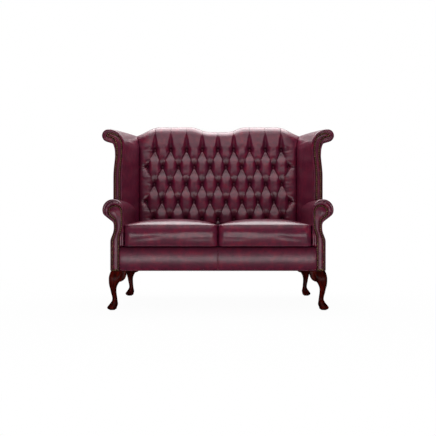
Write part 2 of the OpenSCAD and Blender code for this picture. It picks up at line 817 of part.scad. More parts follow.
module back_bottom_rail() {
    color(timber) on_rake(panel_t)
        translate([-post_x, bottom_rail_low, 0])
        cube([2 * post_x, bottom_rail_h, frame_t]);
}

module back_upright() {
    low = bottom_rail_low + bottom_rail_h;
    upright_w = 50;
    color(timber) on_rake(panel_t)
        translate([-upright_w / 2, low, 0])
        cube([upright_w, top_rail_low - low, frame_t]);
}

module back_webbing() {
    strap_w = 50;
    strap_pairs = 4;
    strap_pitch = post_x / (strap_pairs + 0.8);
    low = bottom_rail_low + 10;
    high = top_rail_low + 30;
    color(jute) on_rake(panel_t + frame_t) for (i = [-strap_pairs : strap_pairs]) if (i != 0)
        translate([i * strap_pitch - strap_w / 2, low, 0])
            cube([strap_w, high - low, web_t]);
}

// The outside back: down behind the arms, in at the wings, and along the top edge
module outside_back() {
    wing_out = wing_t + panel_t;
    high_x = wing_rear(wing_panel_z) + wing_out;
    shoulder_z = edge_z(back_half_w);
    right_edge = concat([[back_half_w, up_rake(shoulder_z)],
            [high_x - 5, up_rake(shoulder_z - 12)],
            [high_x, up_rake(shoulder_z - 40)],
            [high_x, up_rake(wing_panel_z)],
            [wing_rear(wing_low_z) + wing_out, up_rake(wing_low_z)]],
        [for (i = [0 : 8]) let (a = mix(90, scroll_start, i / 8))
            [half_w + arm_roll_r * (1 + cos(a)), up_rake(arm_roll_z + arm_roll_r * sin(a))]],
        [[half_w + arm_neck_w, up_rake(arm_roll_z - scroll_drop)]],
        [for (i = [curve_steps : -1 : 0]) let (z = curve_heights()[i]) [half_w + outer_u(z), up_rake(z)]],
        [[half_w + arm_base_w, 0]]);
    left_edge = [for (i = [len(right_edge) - 1 : -1 : 1]) [-right_edge[i][0], right_edge[i][1]]];
    color(leather) on_rake(0)
        linear_extrude(height = panel_t)
        polygon(concat(top_edge(), [for (i = [1 : len(right_edge) - 1]) right_edge[i]], left_edge));
}

// Seat cushions, drawn on the right

cushion_z = deck_top + fit;
cushion_w = half_w - 1.5 * cushion_gap;
cushion_x = 0.5 * cushion_gap;
cushion_y = front_y - cushion_overhang;
cushion_d = face_y(first_row_z) - tuft_depth - cushion_back_gap - cushion_y;
cushion_corner = 34;
draw_in = 3;
core_margin = 12;
ring_points = 48;

// Plan of a cushion at an inset: round corners, sides drawn in between them
function cushion_ring(inset, z, round = 0) =
    let (hx = cushion_w / 2 - inset, hy = cushion_d / 2 - inset,
        r = mix(max(6, cushion_corner - inset), min(hx, hy), round))
    [for (i = [0 : ring_points - 1])
        let (side = floor(i * 4 / ring_points), k = i % (ring_points / 4), n = ring_points / 4 - 1,
            a = 90 * side + 90 * (k < 4 ? k / 4 : 1),
            sx = side == 0 || side == 3 ? 1 : -1, sy = side < 2 ? 1 : -1,
            t = k < 4 ? 0 : (k - 4) / (n - 3),
            corner = [sx * (hx - r) + r * cos(a), sy * (hy - r) + r * sin(a)],
            span = side % 2 == 0 ? 2 * (hx - r) : 2 * (hy - r),
            along = side == 0 ? [-1, 0] : side == 1 ? [0, -1] : side == 2 ? [1, 0] : [0, 1],
            inward = side == 0 ? [0, -1] : side == 1 ? [1, 0] : side == 2 ? [0, 1] : [-1, 0],
            p = corner + along * span * t + inward * draw_in * sin(180 * t))
        [cushion_x + cushion_w / 2 + p[0], cushion_y + cushion_d / 2 + p[1], z]];

function crown_z(share) = cushion_z + cushion_side_h + cushion_crown * (1 - pow(1 - share, 2.2));

module cushion_form() {
    low = cushion_z;
    high = cushion_z + cushion_side_h;
    reach = min(cushion_w, cushion_d) / 2;
    sides = [[10, low], [2, low + 5], [0, low + 12], [3, low + 26], [4, (low + high) / 2],
        [3, high - 24], [0, high - 10], [2, high]];
    tops = [for (share = [0.05, 0.16, 0.32, 0.5, 0.7, 0.88]) [share * reach, crown_z(share), ease(share)]];
    rings = concat([for (s = sides) cushion_ring(s[0], s[1])], [for (s = tops) cushion_ring(s[0], s[1], s[2])]);
    centre = [cushion_x + cushion_w / 2, cushion_y + cushion_d / 2];
    ring_skin(rings, [centre[0], centre[1], low], [centre[0], centre[1], crown_z(1)]);
}

module cushion_block(margin) {
    translate([cushion_x + margin, cushion_y + margin, cushion_z + margin])
        cube([cushion_w - 2 * margin, cushion_d - 2 * margin, cushion_side_h - 2 * margin]);
}

module cushion_cover(side) {
    color(leather) on_side(side) difference() {
        cushion_form();
        cushion_block(core_margin);
    }
}

module cushion_core(side) {
    color(foam) on_side(side) cushion_block(core_margin + fit);
}

module cushion_zip(side) {
    zip_h = 22;
    zip_margin = 60;
    zip_t = 1.5;
    zip_y = cushion_y + cushion_d - 4 - draw_in;
    color(cloth) on_side(side)
        translate([cushion_x + zip_margin, zip_y, cushion_z + cushion_side_h / 2 - zip_h / 2])
        cube([cushion_w - 2 * zip_margin, zip_t + 4, zip_h]);
}

leg(-1, true);  // leg_front_left
leg(1, true);  // leg_front_right
leg(-1, false);  // leg_rear_left
leg(1, false);  // leg_rear_right
knee_blocks();
leg_glides();
leg_bolts();
leg_nuts();
front_rail();
rear_rail();
side_rail(-1);  // side_rail_left
side_rail(1);  // side_rail_right
centre_bearer();
corner_blocks();
seat_springs();
spring_clips();
seat_platform();
dust_cover();
front_border();
front_piping();
arm_post(-1);  // arm_post_left
arm_post(1);  // arm_post_right
arm_rail(-1);  // arm_rail_left
arm_rail(1);  // arm_rail_right
arm_pad(-1);  // arm_pad_left
arm_pad(1);  // arm_pad_right
arm_facing(-1);  // arm_facing_left
arm_facing(1);  // arm_facing_right
arm_nails(-1);  // arm_nails_left
arm_nails(1);  // arm_nails_right
outside_arm(-1);  // outside_arm_left
outside_arm(1);  // outside_arm_right
wing_post(-1);  // wing_post_left
wing_post(1);  // wing_post_right
wing_rail(-1);  // wing_rail_left
wing_rail(1);  // wing_rail_right
wing_pad(-1);  // wing_pad_left
wing_pad(1);  // wing_pad_right
wing_facing(-1);  // wing_facing_left
wing_facing(1);  // wing_facing_right
wing_nails(-1);  // wing_nails_left
wing_nails(1);  // wing_nails_right
outside_wing(-1);  // outside_wing_left
outside_wing(1);  // outside_wing_right
back_post(-1);  // back_post_left
back_post(1);  // back_post_right
back_top_rail();
back_bottom_rail();
back_upright();
back_webbing();
inside_back();
back_buttons();
outside_back();
cushion_cover(-1);  // cushion_cover_left
cushion_cover(1);  // cushion_cover_right
cushion_core(-1);  // cushion_core_left
cushion_core(1);  // cushion_core_right
cushion_zip(-1);  // cushion_zip_left
cushion_zip(1);  // cushion_zip_right
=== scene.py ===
import math

import bmesh
import bpy
import numpy as np
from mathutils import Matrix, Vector


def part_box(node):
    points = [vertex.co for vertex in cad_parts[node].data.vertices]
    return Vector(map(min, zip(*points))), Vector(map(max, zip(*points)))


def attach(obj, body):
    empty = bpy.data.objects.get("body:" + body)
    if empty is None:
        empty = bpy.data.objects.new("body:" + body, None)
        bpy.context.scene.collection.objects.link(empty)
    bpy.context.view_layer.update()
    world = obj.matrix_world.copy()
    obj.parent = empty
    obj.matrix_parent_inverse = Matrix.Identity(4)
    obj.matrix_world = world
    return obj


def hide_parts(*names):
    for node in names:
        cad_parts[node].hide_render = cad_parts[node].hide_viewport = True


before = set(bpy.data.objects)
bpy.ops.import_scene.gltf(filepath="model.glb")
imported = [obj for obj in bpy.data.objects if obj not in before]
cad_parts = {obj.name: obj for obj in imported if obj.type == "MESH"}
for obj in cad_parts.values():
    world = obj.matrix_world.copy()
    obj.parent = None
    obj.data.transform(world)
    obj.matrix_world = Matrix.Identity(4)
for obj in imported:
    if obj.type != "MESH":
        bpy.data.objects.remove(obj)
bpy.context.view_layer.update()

scene = bpy.context.scene

# Driving dimensions in millimetres, the same as the frame's: X right, Y back, Z up
MM = 0.001
LEG_H = 218.0
HALF_W = 528.0
FRONT_Y = -392.0
BASE_REAR_Y = 307.0
DECK_TOP = 353.8
LEAN = 118.0 / 892.0
RAKE = math.atan(LEAN)
BORDER_LOW = 223.0
BORDER_STAND = 4.0
BORDER_BELLY = 13.0
BORDER_ROUND = 11.0
PIPING_R = 2.6
PANEL_T = 6.5

ARM_BASE_W = 75.5
ARM_NECK_W = 56.0
STEM_IN_BASE = 23.0
STEM_IN_NECK = 6.0
ROLL_R = 60.0
ROLL_Z = 559.0
HEAD_U = 46.0
HEAD_Z = 547.0
HEAD_R = 40.0
FACING_MARGIN = 8.0
NECK_Z = 487.0
FACING_NECK_Z = 499.0
SCROLL_START = -28.0
ARM_PLEATS = (-13, 27, 75, 124)
ARM_PLEAT_D = 3.6

WING_Y = -130.0
WING_BASE_Z = 539.0
WING_INNER_BASE_Z = 485.0
WING_LOW_Z = 620.0
LEAN_LOW_Z = 760.0
LEAN_HIGH_Z = 930.0
WING_PANEL_Z = 962.0
WING_STAND = 46.0
WING_LEAN_IN = 12.0
WING_REAR_LOW = 494.0
WING_REAR_HIGH = 514.0
WING_OUT = 56.6
REAR_FRAME_D = 38.0
WING_PANEL_TOP = 20.0

PITCH = 105.0
ROW = 115.0
FIRST_ROW_Z = 508.0
LAST_ROW_Z = FIRST_ROW_Z + 4 * ROW
BACK_H = 1135.0
TOP_DIP = 33.0
TOP_FALL = 58.0
BACK_HALF_W = 551.0
BACK_DEPTH = 167.0
BACK_TILT = math.radians(10.5)
BACK_SLOPE = math.tan(BACK_TILT)
TOP_ROLL_D = 78.0
TOP_ROLL_H = 60.0
OUTER_X = 4.5 * PITCH
TUFT = 34.0
BUTTON_R = 11.0
BUTTON_RISE = 6.5
BUTTON_HOLLOW = 4.0

CUSHION_LOW = 354.1
CUSHION_SIDE_H = 118.0
CUSHION_TOP = CUSHION_LOW + CUSHION_SIDE_H
CUSHION_CROWN = 36.0
CUSHION_BELLY = 10.0
CUSHION_CORNER = 30.0
CROWN_SIDE_POWER = 2.5
CROWN_FRONT_POWER = 5.5
CUSHION_X0 = 0.75
CUSHION_X1 = 526.5
CUSHION_Y0 = -410.0
CUSHION_Y1 = 130.4
CUSHION_MID = np.array([(CUSHION_X0 + CUSHION_X1) / 2, (CUSHION_Y0 + CUSHION_Y1) / 2])
CUSHION_HALF = np.array([(CUSHION_X1 - CUSHION_X0) / 2, (CUSHION_Y1 - CUSHION_Y0) / 2])

LEATHER_THICK = 2.2
WELT_R = 3.0
LEG_CELL = 2.6
PANEL_CELL = 3.0
CUSHION_CELL = 6.5
NAIL_R = 4.7
NAIL_INSET = NAIL_R + 0.6
NAIL_PITCH = 11.0
NAIL_BAND = 10.5
HEAD_RADIUS = 4.3
HEAD_RISE = 3.7
SIDES = (("left", -1), ("right", 1))
FORWARD = (0, -1, 0)


# Small mathematics

def ease(t):
    return (1 - np.cos(np.pi * np.clip(t, 0, 1))) / 2


def mix(a, b, t):
    return a + (b - a) * t


def bell(d, width):
    return np.exp(-(d / width) ** 2)


def waves(a, b, pitch, seed, count=7):
    """Smooth irregular waves over a plane, about -1 to 1."""
    rng = np.random.default_rng(seed)
    total = 0
    for _ in range(count):
        turn = rng.uniform(0, 2 * np.pi)
        k = 2 * np.pi / (pitch * rng.uniform(0.7, 1.6))
        total = total + np.sin(k * (a * np.cos(turn) + b * np.sin(turn)) + rng.uniform(0, 6.28))
    return total / math.sqrt(count)


def spline(knots, per):
    """A smooth line through the knots."""
    k = np.asarray(knots, float)
    ends = np.vstack([2 * k[0] - k[1], k, 2 * k[-1] - k[-2]])
    out = []
    for i in range(1, len(ends) - 2):
        p0, p1, p2, p3 = ends[i - 1:i + 3]
        for t in np.linspace(0, 1, per, endpoint=False):
            out.append(0.5 * (2 * p1 + (p2 - p0) * t + (2 * p0 - 5 * p1 + 4 * p2 - p3) * t * t
                              + (3 * p1 - p0 - 3 * p2 + p3) * t ** 3))
    out.append(k[-1])
    return np.array(out)


def soften(line, rounds):
    """Rounds the corners of an open line and keeps its ends."""
    line = np.array(line, float)
    for _ in range(rounds):
        line[1:-1] = 0.5 * line[1:-1] + 0.25 * (line[:-2] + line[2:])
    return line


def lengths(line):
    return np.r_[0, np.cumsum(np.linalg.norm(np.diff(line, axis=0), axis=1))]


def resample(line, count):
    run = lengths(line)
    at = np.linspace(0, run[-1], count)
    return np.stack([np.interp(at, run, line[:, k]) for k in range(line.shape[1])], 1)


def path(u, z):
    """Points of an outline across from its heights."""
    return np.stack([u + 0 * z, z], 1)


def circle(count):
    """Cosines and sines of evenly spaced turns."""
    turn = np.linspace(0, 2 * np.pi, count, endpoint=False)
    return np.cos(turn), np.sin(turn)


# Mesh building

def skin(rows, wrap_cols=False, wrap_rows=False):
    """Points and quads over a grid of points."""
    rows = np.asarray(rows, float)
    m, n = rows.shape[:2]
    ids = np.arange(m * n).reshape(m, n)
    if wrap_cols:
        ids = np.concatenate([ids, ids[:, :1]], 1)
    if wrap_rows:
        ids = np.concatenate([ids, ids[:1]], 0)
    quads = np.stack([ids[:-1, :-1], ids[:-1, 1:], ids[1:, 1:], ids[1:, :-1]], -1)
    return rows.reshape(-1, 3), [tuple(q) for q in quads.reshape(-1, 4).tolist()]


def capped(rows):
    """A closed skin over rings of points, with a face at each end."""
    points, faces = skin(rows, wrap_cols=True)
    m, n = np.asarray(rows).shape[:2]
    faces.append(tuple(range(n)))
    faces.append(tuple(range((m - 1) * n, m * n))[::-1])
    return points, faces


def merged(parts):
    points, faces, base = [], [], 0
    for p, f in parts:
        points.append(np.asarray(p, float))
        faces += [tuple(i + base for i in face) for face in f]
        base += len(p)
    return np.concatenate(points), faces


def assign(target, **values):
    for key, value in values.items():
        setattr(target, key, value)
    return target


def add_object(name, data):
    obj = bpy.data.objects.new(name, data)
    scene.collection.objects.link(obj)
    return obj


def declare(obj, nodes, finish="leather", body="frame"):
    """Gives a piece its finish, puts it under its body and hides the frame's nodes it stands in for."""
    obj.data.materials.clear()
    obj.data.materials.append(MATERIALS[finish])
    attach(obj, body)
    if nodes:
        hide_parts(*nodes)
    return obj


def piece(name, shape, nodes=(), finish="leather", body="frame", depth=None):
    """A new piece of the sofa. Its depth, 0 to 1, is how dark the leather is painted there: painted shade,
    partly a dark antique finish in hollows.
    """
    points, faces = shape
    mesh = bpy.data.meshes.new(name)
    mesh.from_pydata((np.asarray(points) * MM).tolist(), [], faces)
    bm = bmesh.new()
    bm.from_mesh(mesh)
    bmesh.ops.recalc_face_normals(bm, faces=bm.faces)
    bm.to_mesh(mesh)
    bm.free()
    mesh.shade_smooth()
    if depth is not None:
        layer = mesh.attributes.new("depth", "FLOAT", "POINT")
        layer.data.foreach_set("value", np.asarray(depth, np.float32).ravel())
    return declare(add_object(name, mesh), nodes, finish, body)


def evaluated(obj):
    return obj.evaluated_get(bpy.context.evaluated_depsgraph_get())


def applied(obj):
    """Bakes an object's modifiers into its mesh."""
    mesh = bpy.data.meshes.new_from_object(evaluated(obj))
    old = obj.data
    obj.modifiers.clear()
    obj.data = mesh
    bpy.data.meshes.remove(old)
    mesh.shade_smooth()


def remeshed(obj, size, smooth):
    """Turns an object's mesh into one even skin of a given cell size, in millimetres."""
    assign(obj.modifiers.new("even", "REMESH"), mode="VOXEL", voxel_size=size * MM, use_smooth_shade=True)
    assign(obj.modifiers.new("soft", "SMOOTH"), iterations=smooth)
    applied(obj)


def shelled(obj, outward):
    """Gives an open skin of leather its thickness, on the side away from outward."""
    mesh = obj.data
    facing = sum((face.normal * face.area for face in mesh.polygons), Vector())
    if facing.dot(Vector(outward)) < 0:
        mesh.flip_normals()
    assign(obj.modifiers.new("joined", "WELD"), merge_threshold=0.02 * MM)
    assign(obj.modifiers.new("thickness", "SOLIDIFY"), thickness=LEATHER_THICK * MM, offset=-1)
    applied(obj)


def leather_skin(name, place, node_name, rows, outward, dark=None):
    """A shelled skin of leather on the left or right side, with a darkness for each row."""
    depth = None if dark is None else np.stack([d + np.zeros(len(rows[0])) for d in dark])
    shelled(piece(f"{name}_{place}", skin(rows), (f"{node_name}_{place}",), depth=depth), outward)


def tube(line, radius, sides=10, closed=False):
    """Points and faces of a round cord along a line."""
    line = np.asarray(line, float)
    if closed:
        ahead = np.roll(line, -1, 0) - np.roll(line, 1, 0)
    else:
        ahead = np.gradient(line, axis=0)
    ahead /= np.linalg.norm(ahead, axis=1)[:, None]
    side = np.cross(ahead[0], [0.0, 0.0, 1.0])
    c, s = circle(sides)
    rings = []
    for p, d in zip(line, ahead):
        side = side - d * side.dot(d)
        side /= np.linalg.norm(side)
        up = np.cross(d, side)
        rings.append(p + radius * (c[:, None] * side + s[:, None] * up))
    if closed:
        return skin(rings, wrap_cols=True, wrap_rows=True)
    return capped(rings)


def dome(centre, normal, radius, height, sides=12, rings=4, power=2.0):
    """Points and faces of a low dome facing along a normal."""
    n = np.asarray(normal, float) / np.linalg.norm(normal)
    a = np.cross(n, [1.0, 0.0, 0.0])
    a /= np.linalg.norm(a)
    c, s = circle(sides)
    around = c[:, None] * a + s[:, None] * np.cross(n, a)
    rows = []
    for t in np.linspace(0, 0.93, rings):
        rise = height * (1 - t ** power) ** (1 / power) if t else height
        rows.append(centre + n * rise + radius * t * around)
    rows[0] = rows[0] + radius * 0.05 * around
    rows.append(centre - n * 0.5 + radius * around)
    return capped(rows[::-1])


# Finishes: colours are given as sRGB values of 0 to 255

def linear(colour):
    """An sRGB colour as linear light, with full alpha."""
    parts = [v / 255 for v in colour]
    return (*[v / 12.92 if v <= 0.04045 else ((v + 0.055) / 1.055) ** 2.4 for v in parts], 1)


def feed(tree, target, inputs):
    """Links or sets a node's inputs, by name or number."""
    for key, value in inputs.items():
        if hasattr(value, "is_output"):
            tree.links.new(value, target.inputs[key])
        else:
            target.inputs[key].default_value = value


def node(tree, kind, inputs=None, **settings):
    made = assign(tree.nodes.new("ShaderNode" + kind), **settings)
    feed(tree, made, inputs or {})
    return made


def new_material(name):
    material = bpy.data.materials.new(name)
    material.use_nodes = True
    tree = material.node_tree
    return material, tree, tree.nodes["Principled BSDF"]


def noise(tree, scale, detail=3.0, rough=0.6, stretch=None):
    """A noise texture in the object's own coordinates."""
    source = node(tree, "TexCoord").outputs["Object"]
    if stretch:
        source = node(tree, "Mapping", {"Vector": source, "Scale": stretch}).outputs["Vector"]
    inputs = {"Vector": source, "Scale": scale, "Detail": detail, "Roughness": rough}
    return node(tree, "TexNoise", inputs).outputs[0]


def ramp(tree, value, stops):
    made = node(tree, "ValToRGB", {"Fac": value})
    while len(made.color_ramp.elements) < len(stops):
        made.color_ramp.elements.new(0.5)
    for element, (at, colour) in zip(made.color_ramp.elements, stops):
        element.position = at
        element.color = linear(colour)
    return made.outputs["Color"]


def remap(tree, value, low, high, to_low, to_high):
    inputs = {"Value": value, "From Min": low, "From Max": high, "To Min": to_low, "To Max": to_high}
    return node(tree, "MapRange", inputs).outputs["Result"]


def blend(tree, share, under, colour):
    inputs = {0: share, 6: under, 7: linear(colour)}
    return node(tree, "Mix", inputs, data_type="RGBA").outputs[2]


def bumps(tree, layers):
    """Chains bump nodes: (height, strength, distance in metres)."""
    inputs = {}
    for height, strength, distance in layers:
        inputs.update({"Height": height, "Strength": strength, "Distance": distance})
        inputs["Normal"] = node(tree, "Bump", inputs).outputs["Normal"]
    return inputs["Normal"]


def leather_material():
    """Rubbed leather, mottled; dark and dull where the depth is high, which is painted shade in creases,
    seams, hollows and under the cushions, partly a dark antique finish in the hollows.
    """
    material, tree, shader = new_material("leather")
    middle, bright, dark, deep = (102, 23, 53), (132, 27, 52), (78, 20, 44), (20, 5, 10)
    patch = noise(tree, 30.0, 4.0, 0.65)
    flecks = remap(tree, noise(tree, 170.0, 3.0, 0.7), 0.55, 0.75, 0.0, 0.45)
    shade = remap(tree, noise(tree, 7.0, 2.0, 0.5), 0.35, 0.65, 0.35, 0.0)
    depth = node(tree, "Attribute", attribute_name="depth").outputs["Fac"]
    colour = ramp(tree, patch, [(0.3, dark), (0.5, middle), (0.72, bright)])
    colour = blend(tree, flecks, colour, bright)
    colour = blend(tree, shade, colour, dark)
    # Painted shade: the depth attribute darkens the leather towards the deep colour
    colour = blend(tree, remap(tree, depth, 0.25, 1.0, 0.0, 0.92), colour, deep)
    crease, grain = noise(tree, 60.0, 4.0), noise(tree, 900.0)
    feed(tree, shader, {
        "Base Color": colour,
        "Roughness": remap(tree, patch, 0.3, 0.7, 0.35, 0.29),
        # Painted shade also takes the gloss away where the depth is high
        "Specular IOR Level": remap(tree, depth, 0.3, 0.85, 0.5, 0.04),
        "Coat Weight": remap(tree, depth, 0.3, 0.7, 0.25, 0.0),
        "Coat Roughness": 0.25,
        "Normal": bumps(tree, [(crease, 0.05, 0.0008), (grain, 0.12, 0.0003)])})
    return material


def toned_material(name, stops, rough, bump=(0.2, 0.0006), inputs=None, **texture):
    """A finish whose tones and fine relief follow one noise, and its roughness where that is a pair."""
    material, tree, shader = new_material(name)
    tone = noise(tree, **texture)
    if isinstance(rough, tuple):
        rough = remap(tree, tone, 0.3, 0.7, *rough)
    feed(tree, shader, {"Base Color": ramp(tree, tone, stops), "Roughness": rough,
                        "Normal": bumps(tree, [(tone, *bump)]), **(inputs or {})})
    return material


def woven_material(name, dark, bright, threads, rough):
    """A plain weave of crossing threads."""
    material, tree, shader = new_material(name)
    place = node(tree, "TexCoord").outputs["Object"]
    inputs = {"Vector": place, "Scale": threads, "Distortion": 0.4}
    warp, weft = [node(tree, "TexWave", inputs, wave_type="BANDS", bands_direction=axis)
                  for axis in ("X", "Z")]
    both = {0: warp.outputs["Fac"], 1: weft.outputs["Fac"]}
    weave = node(tree, "Math", both, operation="MULTIPLY").outputs[0]
    feed(tree, shader, {
        "Base Color": ramp(tree, weave, [(0.0, dark), (0.6, bright)]),
        "Roughness": rough,
        "Normal": bumps(tree, [(weave, 0.4, 0.0005)])})
    return material


MATERIALS = {
    "leather": leather_material(),
    "mahogany": toned_material(
        "mahogany", [(0.35, (22, 2, 1)), (0.52, (58, 5, 2)), (0.7, (92, 14, 6))], 0.34, (0.1, 0.0006),
        {"Specular IOR Level": 0.05, "Coat Weight": 0.04, "Coat Roughness": 0.1},
        scale=60.0, detail=5.0, stretch=(1.0, 1.0, 0.14)),
    "brass": toned_material(
        "brass", [(0.35, (88, 68, 46)), (0.55, (150, 122, 86)), (0.75, (196, 164, 120))], (0.42, 0.26),
        (0.15, 0.0004), {"Metallic": 0.9}, scale=240.0),
    "timber": toned_material("timber", [(0.3, (176, 136, 92)), (0.7, (214, 178, 130))], 0.6,
                             scale=26.0, detail=4.0, stretch=(0.2, 1, 1)),
    "steel": toned_material("steel", [(0.3, (128, 128, 132)), (0.7, (176, 176, 180))], 0.38,
                            inputs={"Metallic": 1.0}, scale=90.0, detail=4.0),
    "glide": toned_material("glide", [(0.3, (18, 18, 18)), (0.7, (36, 36, 36))], 0.5,
                            scale=200.0, detail=4.0),
    "lining": woven_material("lining", (14, 13, 13), (42, 40, 40), 160.0, 0.9),
    "webbing": woven_material("webbing", (112, 88, 56), (176, 146, 102), 120.0, 0.85),
}
# The frame's own nodes by a word in their names, and all others are leather
NODE_WORDS = {
    "leather": ("knee", "platform"), "glide": ("glide",), "steel": ("bolt", "nut", "spring"),
    "lining": ("dust",), "webbing": ("webbing",), "brass": ("zip",),
    "timber": ("rail", "post", "block", "bearer", "upright"),
}
for name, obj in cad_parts.items():
    kinds = [kind for kind, words in NODE_WORDS.items() if any(word in name for word in words)]
    obj.data.materials.clear()
    obj.data.materials.append(MATERIALS[(kinds + ["leather"])[0]])


# Legs

# Share of the height, centre, half width and squareness of each section, from the block down
LEG_SECTIONS = [
    (1.000, -36, 36, 7), (0.920, -30, 36, 6), (0.840, -25, 35, 5), (0.755, -22, 33, 4),
    (0.690, -17, 27, 3.5), (0.620, -14, 22, 3), (0.540, -14, 17.5, 2.6), (0.440, -16, 15.5, 2.3),
    (0.300, -21, 14, 2), (0.220, -20.5, 16.5, 2), (0.140, -16, 24, 2.1), (0.070, -8, 27, 2.2),
    (0.030, -8.5, 25, 2.2), (0.014, -9, 21, 2.2)]
CORNER_X = 600.0
CORNER_FRONT_Y = -406.0
CORNER_REAR_Y = 286.0


def leg_points():
    """The front right leg about its corner of the frame, in smooth sections from foot to block."""
    c, s = circle(56)
    rings = []
    for share, centre, half, power in spline(LEG_SECTIONS[::-1], 6):
        power = max(power, 2)
        r = half / (abs(c) ** power + abs(s) ** power) ** (1 / power)
        rings.append(np.stack([centre + r * c, -centre + r * s, np.full_like(c, share * LEG_H)], 1))
    return capped(rings)


def ear_points(swap):
    """A knee block beside the leg, hollowed towards the knee, its face in line with the leg's."""
    inner, tip, low = -40, -89, LEG_H - 66
    turn = np.radians(np.linspace(0, 90, 14))
    hollow = np.stack([tip + 3 + 37 * (1 - np.cos(turn)), LEG_H - 14 - 48 * np.sin(turn)], 1)
    outline = np.vstack([[inner, low], [inner, LEG_H], [tip, LEG_H], [tip, LEG_H - 11], hollow])
    rings = []
    for depth in np.linspace(3.0, 36, 8):
        rings.append(np.stack([outline[:, 0], np.full(len(outline), depth), outline[:, 1]], 1))
    points, faces = capped(rings)
    if swap:
        points = -points[:, [1, 0, 2]] * [1, 1, -1]
    return points, faces


def build_leg(place, side, front):
    points, faces = merged([leg_points(), ear_points(False), ear_points(True)])
    points = points * [1, 1 if front else -1, 1]
    points = (points + [CORNER_X, CORNER_FRONT_Y if front else CORNER_REAR_Y, 0]) * [side, 1, 1]
    name = f"leg_{'front' if front else 'rear'}_{place}"
    remeshed(piece("carved_" + name, (points, faces), (name, "knee_blocks"), "mahogany"), LEG_CELL, 9)


# Seat front: the border over the rail, sewn in two halves, and the piping under it

def build_border():
    stem = HALF_W + STEM_IN_BASE - 0.3
    low, high = BORDER_LOW, DECK_TOP
    across = np.r_[0.6, 1.2, 2.2, np.linspace(4, stem - 6, 70), stem - 3, stem - 1, stem]
    z = np.linspace(low, high - BORDER_ROUND, 26)
    belly = BORDER_BELLY * np.sin(np.pi * np.clip((z - low) / (high - low), 0, 1) ** 0.86) ** 0.75
    turn = np.radians(np.linspace(8, 90, 9))
    over_z = high - BORDER_ROUND + BORDER_ROUND * np.sin(turn)
    line_z = np.r_[low - 1, low - 1.5, z, over_z, high, high - 2]
    parts = []
    for side in (-1, 1):
        rows = []
        for x in across:
            # Drawn in at the middle seam and at the arm
            end = 3.2 * math.exp(-(x - 0.6) / 6) + 5.5 * math.exp(-(stem - x) / 14)
            dent = 0.3 * waves(x + 0 * z, z * 0.6, 150, 11)
            y = FRONT_Y - BORDER_STAND - belly + end + dent
            over_y = y[-1] + BORDER_ROUND * (1 - np.cos(turn))
            line_y = np.r_[FRONT_Y + 3, FRONT_Y - 3, y, over_y, FRONT_Y + 40, FRONT_Y + 62]
            rows.append(np.stack([np.full_like(line_y, side * x), line_y, line_z], 1))
        parts.append(capped(rows))
    shape = merged(parts)
    # Painted shadow: the border is darkened towards its top, under the cushions' overhang
    shade = np.exp(-np.clip(high - shape[0][:, 2], 0, None) / 33)
    piece("border_leather", shape, ("front_border",), depth=shade)
    line = [[x, FRONT_Y - 5.5, LEG_H + PIPING_R] for x in np.linspace(-stem, stem, 60)]
    piece("border_piping", tube(line, PIPING_R), ("front_piping",))


# The seat's platform: inset from its edge and height over its underside, round a padded deck
DECK_PROFILE = [(60, 0.2), (6, 0.2), (1, 2), (0, 6), (0, 18), (1, 24), (5, 27.5), (16, 28.6), (60, 28.9),
                (160, 28.9)]
DECK_SQUARENESS = 18


def build_platform():
    low, high = [np.array(corner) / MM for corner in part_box("seat_platform")]
    centre, half = (low + high) / 2, (high - low) / 2
    c, s = circle(96)
    r = 1 / (abs(c) ** DECK_SQUARENESS + abs(s) ** DECK_SQUARENESS) ** (1 / DECK_SQUARENESS)
    rows = []
    for inset, z in DECK_PROFILE:
        rows.append(np.stack([centre[0] + r * c * (half[0] - inset), centre[1] + r * s * (half[1] - inset),
                              np.full_like(c, low[2] + z)], 1))
    piece("seat_deck", capped(rows), ("seat_platform",))


# Inside back: deep diamonds, pleats over the serpentine top, smooth borders

BUTTONS = [((i + row % 2 / 2) * PITCH, FIRST_ROW_Z + row * ROW)
           for row in range(5) for i in range(-4 - row % 2, 5)]
CREASE_SPACING = 1 / math.hypot(1 / PITCH, 1 / (2 * ROW))
CONE = 0.78
FULL = 0.94
HANG = 1.25
LAP = 5.0
PLEAT_FULL = 0.88
BORDER_FULL = 0.84
CREST_FULL = 0.86


def outside_y(z):
    return BASE_REAR_Y + (z - LEG_H) * LEAN


def face_y(z):
    return outside_y(FIRST_ROW_Z) - BACK_DEPTH + BACK_SLOPE * (z - FIRST_ROW_Z)


def top_z(x):
    """The serpentine top: a dip in the middle and a fall towards the wings."""
    share = np.abs(x) / HALF_W
    dip, fall = 1 - ease((share - 0.1023) / 0.2576), ease((share - 0.748) / 0.322)
    return BACK_H - TOP_DIP * dip - TOP_FALL * fall


def wing_rear_y(z):
    return outside_y(z) - REAR_FRAME_D / math.cos(RAKE)


def wing_x(z, t):
    """The wing's inner face, a share of the way from its front to its rear."""
    front = HALF_W + WING_STAND - WING_LEAN_IN * ease((z - LEAN_LOW_Z) / (LEAN_HIGH_Z - LEAN_LOW_Z))
    rear = mix(WING_REAR_LOW, WING_REAR_HIGH, (z - WING_LOW_Z) / (WING_PANEL_Z - WING_LOW_Z))
    return mix(front, rear, t)


def zigzag(z):
    """Where the border begins: a line through the outer buttons."""
    phase = (z - FIRST_ROW_Z) / ROW
    swing = 1 - np.abs(phase % 2 - 1)
    return 4 * PITCH + 0.5 * PITCH * np.where(z > LAST_ROW_Z, 0, swing)


def diagonals(x, z):
    """Counts the two families of creases that run between the buttons."""
    held = np.clip(z, FIRST_ROW_Z - 0.6 * ROW, LAST_ROW_Z) - FIRST_ROW_Z
    return x / PITCH + held / (2 * ROW), x / PITCH - held / (2 * ROW)


def crease_gap(x, z):
    """Distance to the nearest crease or pleat, in millimetres."""
    near = np.minimum(*[np.abs(v - np.round(v)) * CREASE_SPACING for v in diagonals(x, z)])
    nearest = np.clip(np.round(x / PITCH), -4, 4) * PITCH
    return np.where(z > LAST_ROW_Z, np.abs(x - nearest), near)


